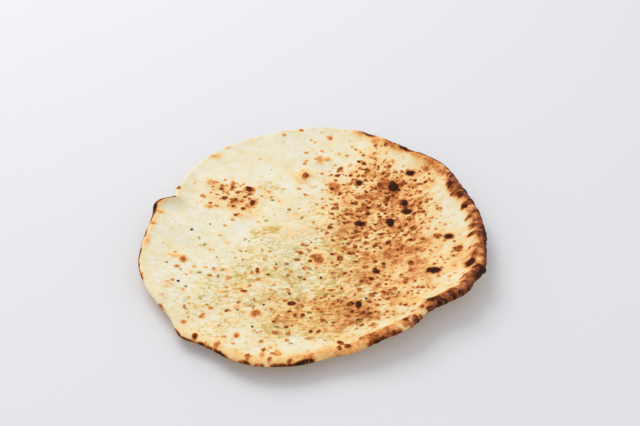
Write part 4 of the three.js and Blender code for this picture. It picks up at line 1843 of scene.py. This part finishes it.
@dataclass(frozen=True)
class NaanBread:
    """The bread as one closed skin: rings over the top, rows round the rim and rings back underneath."""

    finish: BreadFinish = BreadFinish()
    sectors: int = 6
    top_rings: int = 132
    under_rings: int = 60
    crest_rows: int = 12
    rim_rows: int = 14
    under_rows: int = 3
    even_share: float = 0.9
    underside_turns: tuple[float, float] = (-0.35, -0.95)
    top_disc: Disc = Disc(0.4, 0.395)
    under_disc: Disc = Disc(0.817, 0.178)
    name: str = "naan_bread"

    def rings(self) -> list[Ring]:
        """The skin's rings. Out to the even share they are evenly spaced, and each has one point more to a
        sector than the last. Beyond, they lie closer.

        Returns:
            Every ring in order from the top's middle to the underside's.
        """
        sectors, even, gap = self.sectors, self.even_share, 1 - self.even_share
        edge = sectors * self.top_rings
        top = [Ring(sectors * k, even * k / self.top_rings, 1.0) for k in range(1, self.top_rings + 1)]
        crest = [Ring(edge, even + gap * k / self.crest_rows, 1.0) for k in range(1, self.crest_rows)]
        rim = [Ring(edge, 1.0, 1 - 2 * k / self.rim_rows) for k in range(self.rim_rows + 1)]
        heel = [Ring(edge, 1 - gap * k / (self.under_rows + 1), -1.0) for k in range(1, self.under_rows + 1)]
        back = range(self.under_rings, 0, -1)
        under = [Ring(sectors * k, even * k / self.under_rings, -1.0) for k in back]
        return [Ring(1, 0.0, 1.0), *top, *crest, *rim, *heel, *under, Ring(1, 0.0, -1.0)]

    def plain_skin(self, form: BreadForm) -> PlainSkin:
        """The mesh of the plain form, without relief.

        Args:
            form: The bread's form.

        Returns:
            Its points and triangles, and where they lie on the form.
        """
        rings = self.rings()
        counts = [ring.count for ring in rings]
        angle = np.concatenate([np.arange(n) * (2 * math.pi / n) for n in counts])
        share = np.repeat([ring.share for ring in rings], counts)
        turn = np.repeat([ring.turn for ring in rings], counts)
        roll_height, roll_reach = form.rim_roll(turn, angle)
        on_rim = share == 1.0
        flat_height = np.where(turn > 0, form.thickness(share, angle), form.baked_hollow(share, angle))
        height = np.where(on_rim, roll_height, flat_height)
        points = form.off_underside(share, angle, height, np.where(on_rim, roll_reach, 0.0))
        return PlainSkin(points, stitched(counts), share, turn, angle)

    def bake_map(self, piece: bpy.types.Object, form: BreadForm, plain: PlainSkin) -> None:
        """Adds the UV map for baking: the upper skin unrolled as a large disc in one corner of the square
        and the underside as a small one in the other. A disc's radius is the way along the skin.

        Args:
            piece: The bread.
            form: Its form.
            plain: Its plain skin.
        """
        turn, angle, triangles = plain.turn, plain.angle, plain.triangles
        flat_radius = form.radius_at(plain.share, angle)
        upper_rim = form.rim_height(angle) * (1 - form.rim_belly)
        quarter = (math.pi / 2) * np.sqrt((form.half_width(angle) ** 2 + upper_rim**2) / 2)
        upper = flat_radius + (1 - turn) * quarter
        lower = flat_radius + (1 + turn) * quarter
        is_upper = (turn[triangles].mean(axis=1) > 0)[:, None]
        way = np.where(is_upper, upper[triangles], lower[triangles])
        largest = float((form.edge_radius(angle) + quarter).max())
        radius = way / largest * np.where(is_upper, self.top_disc.radius, self.under_disc.radius)
        middle = np.where(is_upper, self.top_disc.middle, self.under_disc.middle)
        turned = angle[triangles]
        side = np.where(is_upper, 1.0, -1.0)
        uv = np.stack([middle + radius * np.cos(turned), middle + side * radius * np.sin(turned)], axis=-1)
        layer = piece.data.uv_layers.new(name="OFBake")
        layer.data.foreach_set("uv", uv.astype(np.float32).ravel())

    def build(self, skin: Skin) -> bpy.types.Object:
        """The finished piece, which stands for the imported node.

        Args:
            skin: What its skin is like.

        Returns:
            The bread's object.
        """
        form, plain = skin.form, self.plain_skin(skin.form)
        turn, angle = plain.turn, plain.angle
        plan = form.radius_at(plain.share, angle) + form.rim_roll(turn, angle)[1] * plain.on_rim()
        x, y = plan * np.cos(angle), plan * np.sin(angle)
        inside = form.edge_radius(angle) - plan
        over_edge = np.where(plain.on_rim() & (turn < 0), -inside, inside)
        top = skin.top(x, y, angle, over_edge, plain.points)
        below = skin.underside(x, y, angle, inside)
        state = top.blend(below, smooth(turn, *self.underside_turns))
        relief = corner_normals(plain.points, plain.triangles) * state.raised[:, None]
        points = plain.points + relief - form.middle()
        points[:, 2] = np.maximum(points[:, 2], 0)
        piece = new_piece(self.name, points, plain.triangles, self.finish.build())
        for name in STORED:
            set_attribute(piece, name, np.clip(getattr(state, name), 0, 1))
        pulled = piece.data.attributes.new("pulled", "FLOAT_VECTOR", "POINT")
        unrolled = skin.stretch.unrolled(x, y, points[:, 2]) * MM
        pulled.data.foreach_set("vector", unrolled.astype(np.float32).ravel())
        self.bake_map(piece, form, plain)
        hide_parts("naan")
        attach(piece, "root")
        return piece


# ---------------------------------------------------------------- What is strewn on it


class Bit(Enum):
    """The shapes that strewn bits come in."""

    FLAKE = "a thin crinkled scrap of leaf"
    SEED = "a plump pointed seed"
    CHUNK = "a chopped lump"


BLUNTNESS = {Bit.FLAKE: 0.75, Bit.SEED: 1.15, Bit.CHUNK: 0.6}


@dataclass(frozen=True)
class Strewn:
    """Bits of one kind, made as one mesh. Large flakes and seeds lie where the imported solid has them, each
    kind at the places whose numbers it takes, and small bits are strewn about much the same middle."""

    name: str
    slot: str
    bit: Bit
    finish: ToppingFinish
    length: float
    width: float
    thickness: float
    takes: Callable[[int], bool]
    small_count: int
    small_sizes: tuple[float, float]
    seed: int
    small_spread: float = 1.0
    rows: int = 7
    columns: int = 8

    middle: tuple[float, float] = (-18, -46)
    spread: tuple[float, float] = (62, 52)
    clearance: float = 9
    reach_share: float = 0.88
    tail: float = 0.1
    sizes: tuple[float, float] = (0.75, 1.25)
    count: int = 56

    small_shift: tuple[float, float] = (12, 8)
    small_spreads: tuple[float, float] = (66, 58)
    small_reach_share: float = 0.93
    draws_per_small: int = 3
    slope_step: float = 0.6
    lift: float = 0.25

    def packed_places(self, form: BreadForm) -> Array:
        """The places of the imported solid's flakes and seeds: draws about a middle, kept where they are clear
        of the edge, the blisters and each other.

        Args:
            form: The bread's form.

        Returns:
            Rows of x, y, turn and size for those that this kind takes.
        """
        places: list[tuple[float, float, float, float]] = []
        n = 0
        while len(places) < self.count:
            n += 1
            reach = math.sqrt(-2 * math.log(1 - (1 - self.tail) * strewn_draw(n, 1)))
            bearing = 2 * math.pi * strewn_draw(n, 2)
            x = self.middle[0] + self.spread[0] * reach * math.cos(bearing)
            y = self.middle[1] + self.spread[1] * reach * math.sin(bearing)
            edge = float(form.edge_radius(np.array(math.atan2(y, x))))
            taken = [(p[0], p[1]) for p in places] + [(b.x, b.y) for b in BLISTERS]
            near = any(math.hypot(x - a, y - b) < self.clearance for a, b in taken)
            if math.hypot(x, y) >= self.reach_share * edge or near:
                continue
            size = self.sizes[0] + (self.sizes[1] - self.sizes[0]) * strewn_draw(n, 4)
            places.append((x, y, math.pi * strewn_draw(n, 3), size))
        return np.array([place for i, place in enumerate(places) if self.takes(i)]).reshape(-1, 4)

    def small_places(self, form: BreadForm) -> Array:
        """The places of the small bits: a normal spread about a middle, cut off at the edge.

        Args:
            form: The bread's form.

        Returns:
            Rows of x, y, turn and size.
        """
        draws = np.random.default_rng(self.seed)
        n = self.small_count * self.draws_per_small
        spread_x, spread_y = (self.small_spread * spread for spread in self.small_spreads)
        x = self.middle[0] + self.small_shift[0] + spread_x * draws.normal(size=n)
        y = self.middle[1] + self.small_shift[1] + spread_y * draws.normal(size=n)
        kept = np.hypot(x, y) < self.small_reach_share * form.edge_radius(np.arctan2(y, x))
        low, high = self.small_sizes
        size = low + (high - low) * draws.random(n) ** 2
        rows = np.stack([x, y, draws.random(n) * 2 * math.pi, size], axis=-1)
        return rows[kept][: self.small_count]

    def one(self) -> tuple[Array, Array]:
        """One bit of length, width and thickness 1: rings of latitude round its long axis, closed by two
        poles. Row k has the radius sin(180° k / rows), to a power that makes it blunt or pointed.

        Returns:
            Its points and triangles.
        """
        k = np.arange(1, self.rows)
        along = -np.cos(math.pi * k / self.rows)
        radius = np.sin(math.pi * k / self.rows)[:, None] ** BLUNTNESS[self.bit]
        turn = 2 * math.pi * np.arange(self.columns) / self.columns
        across, up = (radius * np.cos(turn)).ravel(), (radius * np.sin(turn)).ravel()
        rings = np.stack([np.repeat(along, self.columns), across, up], axis=-1)
        points = np.concatenate([[[-1.0, 0, 0]], rings, [[1.0, 0, 0]]]) / 2
        counts = [1] + [self.columns] * (self.rows - 1) + [1]
        return points, stitched(counts)[:, ::-1]

    def shaped(self, points: Array, draws: Array) -> Array:
        """Copies of one bit, each shaped by draws of its own. A flake is wider at one end, with wavy sides
        and a bow, and is twisted, cupped and rippled. A seed narrows to a point, slightly bent. A chunk has
        lumpy sides and a slanted top.

        Args:
            points: One bit's points.
            draws: Rows of six draws from -1 to 1, one row to a copy.

        Returns:
            An array of copies of rows of three coordinates, of length, width and thickness 1.
        """
        x, y, z = (np.tile(points[:, i], (len(draws), 1)) for i in range(3))
        a, b, c, d, e, f = (draws[:, i][:, None] for i in range(6))
        if self.bit is Bit.FLAKE:
            y = y * (1 + 0.45 * a * x * 2) * (1 + 0.25 * np.sin(9 * x + 3 * b)) + 0.3 * c * x**2
            lift = 0.5 * d * x * y * 4 + 0.6 * np.abs(e) * (2 * y) ** 2 + 0.35 * f * np.sin(7 * x + 4 * a)
            z = z * 0.6 + lift * 0.9
        elif self.bit is Bit.SEED:
            y = y * (1 - 0.55 * x) + 0.08 * b * np.cos(6 * x)
            z = z * (1 - 0.45 * x) + 0.1 * c * x
        else:
            y = y * (1 + 0.25 * a * np.sin(6 * x + 2 * b)) + 0.12 * c * np.sin(5 * z + 4 * d)
            z = z * (1 + 0.3 * e * np.cos(5 * y + 3 * f)) + 0.1 * a * x
            x = x * (1 + 0.2 * d * y)
        return np.stack([x, y, z], axis=-1)

    def lain(self, skin: Skin, x: Array, y: Array, turn: Array) -> tuple[Array, Array]:
        """How bits lie on the skin.

        Args:
            skin: The skin.
            x: Plan coordinates in millimetres.
            y: The same.
            turn: The angles of their lengths in radians, seen from above.

        Returns:
            The skin's points there, and for each the unit directions along, across and up from the skin.
        """
        here = skin.top_place(x, y)
        east = skin.top_place(x + self.slope_step, y)
        north = skin.top_place(x, y + self.slope_step)
        up = np.cross(east - here, north - here)
        up /= np.linalg.norm(up, axis=1, keepdims=True)
        along = np.stack([np.cos(turn), np.sin(turn), np.zeros_like(turn)], axis=-1)
        along -= (along * up).sum(axis=1, keepdims=True) * up
        along /= np.linalg.norm(along, axis=1, keepdims=True)
        return here, np.stack([along, np.cross(up, along), up], axis=1)

    def build(self, skin: Skin) -> bpy.types.Object:
        """All bits of the kind as one piece.

        Args:
            skin: The skin that they lie on.

        Returns:
            The piece.
        """
        places = np.concatenate([self.packed_places(skin.form), self.small_places(skin.form)])
        x, y, turn, size = places.T
        here, axes = self.lain(skin, x, y, turn)
        draws = np.random.default_rng(self.seed + 1).uniform(-1, 1, (len(places), 6))
        points, triangles = self.one()
        local = self.shaped(points, draws) * size[:, None, None]
        local = local * np.array([self.length, self.width, self.thickness])
        local[:, :, 2] += self.lift * self.thickness * size[:, None]
        world = here[:, None, :] + np.einsum("nki,nij->nkj", local, axes) - skin.form.middle()
        offsets = (np.arange(len(places)) * len(points))[:, None, None]
        triangles = (triangles[None] + offsets).reshape(-1, 3)
        piece = new_piece(self.name, world.reshape(-1, 3), triangles, self.finish.build())
        set_attribute(piece, "tone", np.repeat((draws[:, 0] + 1) / 2, len(points)))
        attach(piece, "root")
        return piece


HERBS = ToppingFinish("dried_herb", srgb(208, 192, 116), srgb(150, 134, 66), 700, 0.85, 0.4)
SEEDS = ToppingFinish("dark_seed", srgb(78, 52, 30), srgb(34, 24, 15), 900, 0.7, 0.4)
GARLIC = ToppingFinish("baked_garlic", srgb(226, 182, 96), srgb(176, 118, 46), 600, 0.45, 0.3)
SEED_EVERY = 4

TOPPINGS = (
    Strewn(
        name="herb_flakes",
        slot="herb_flakes",
        bit=Bit.FLAKE,
        finish=HERBS,
        length=4.2,
        width=2.1,
        thickness=0.7,
        takes=lambda i: i % SEED_EVERY != 0,
        small_count=120,
        small_sizes=(0.2, 0.5),
        seed=41,
    ),
    Strewn(
        name="dark_seeds",
        slot="dark_seeds",
        bit=Bit.SEED,
        finish=SEEDS,
        length=2.8,
        width=1.8,
        thickness=1.5,
        takes=lambda i: i % SEED_EVERY == 0,
        small_count=14,
        small_sizes=(0.4, 0.8),
        seed=42,
    ),
    Strewn(
        name="garlic_bits",
        slot="garlic_bits",
        bit=Bit.CHUNK,
        finish=GARLIC,
        length=3.4,
        width=2.2,
        thickness=1.2,
        takes=lambda i: False,
        small_count=46,
        small_sizes=(0.5, 1.3),
        seed=43,
        small_spread=0.8,
    ),
)


# ---------------------------------------------------------------- Studio


@dataclass(frozen=True)
class Studio:
    """A plain pale floor, soft light and the camera. Its own sizes are metres."""

    floor_colour: Colour = srgb(233, 234, 238)
    floor_mottle: float = 1.01
    floor_roughness: float = 0.9
    floor_gloss: float = 0.1
    floor_half_size: float = 30.0
    floor_drop: float = 0.00015
    sky_colour: Colour = (0.985, 0.99, 1.0)
    ambient: float = 0.7
    key_watts: float = 26.0
    key_colour: Colour = (1.0, 0.99, 0.97)
    key_place: tuple[float, float, float] = (-1.0, 1.3, 1.9)
    key_size: float = 1.5
    aim: tuple[float, float, float] = (0.0056, 0.0298, 0.012)
    distance: float = 0.98
    elevation: float = 44.0
    lens: float = 56.25
    sensor: float = 36.0

    def floor(self) -> None:
        """The floor: a plate just under the naan with a faint mottle."""
        g = Graph("pale_floor")
        light = tuple(min(1.0, v * self.floor_mottle) for v in self.floor_colour)
        colour = g.mixed(g.noise(g.place(), 3, 2), (*self.floor_colour, 1), (*light, 1))
        matt = g.shaded(colour, self.floor_roughness, self.floor_gloss)
        sides = np.array([[-1, -1], [1, -1], [1, 1], [-1, 1]]) * self.floor_half_size
        corners = np.column_stack([sides, np.full(len(sides), -self.floor_drop)]) / MM
        floor = new_piece("floor", corners, np.array([[0, 1, 2], [0, 2, 3]]), matt)

    def lights(self) -> None:
        """The even light of the room and one large lamp from the back left."""
        world = bpy.data.worlds.new("room")
        world.use_nodes = True
        background = world.node_tree.nodes["Background"]
        background.inputs[0].default_value = (*self.sky_colour, 1)
        background.inputs[1].default_value = self.ambient
        bpy.context.scene.world = world
        lamp = bpy.data.lights.new("key", "AREA")
        lamp.shape = "SQUARE"
        lamp.size = self.key_size
        lamp.energy = self.key_watts
        lamp.color = self.key_colour
        holder = bpy.data.objects.new("key", lamp)
        holder.location = self.key_place
        holder.rotation_mode = "QUATERNION"
        holder.rotation_quaternion = (-holder.location).to_track_quat("-Z", "Y")
        bpy.context.scene.collection.objects.link(holder)

    def camera(self) -> None:
        """The camera, looking along +Y and down on the naan."""
        data = bpy.data.cameras.new("camera")
        data.lens = self.lens
        data.sensor_width = self.sensor
        holder = bpy.data.objects.new("camera", data)
        lean = math.radians(self.elevation)
        x, y, z = self.aim
        holder.location = (x, y - self.distance * math.cos(lean), z + self.distance * math.sin(lean))
        holder.rotation_euler = (math.pi / 2 - lean, 0, 0)
        bpy.context.scene.collection.objects.link(holder)
        bpy.context.scene.camera = holder

    def build(self) -> None:
        """Sets up floor, lights, camera and a plain view of the colours."""
        self.floor()
        self.lights()
        self.camera()
        bpy.context.scene.view_settings.view_transform = "Standard"


def main() -> None:
    """Builds the studio, the bread and what is strewn on it, in that order, and reports each piece."""
    logging.basicConfig(level=logging.INFO)
    Studio().build()
    skin = Skin()
    for part in (NaanBread(), *TOPPINGS):
        piece = part.build(skin)
        LOG.info("%s: %d triangles", piece.name, len(piece.data.polygons))


if __name__ == "__main__":
    main()
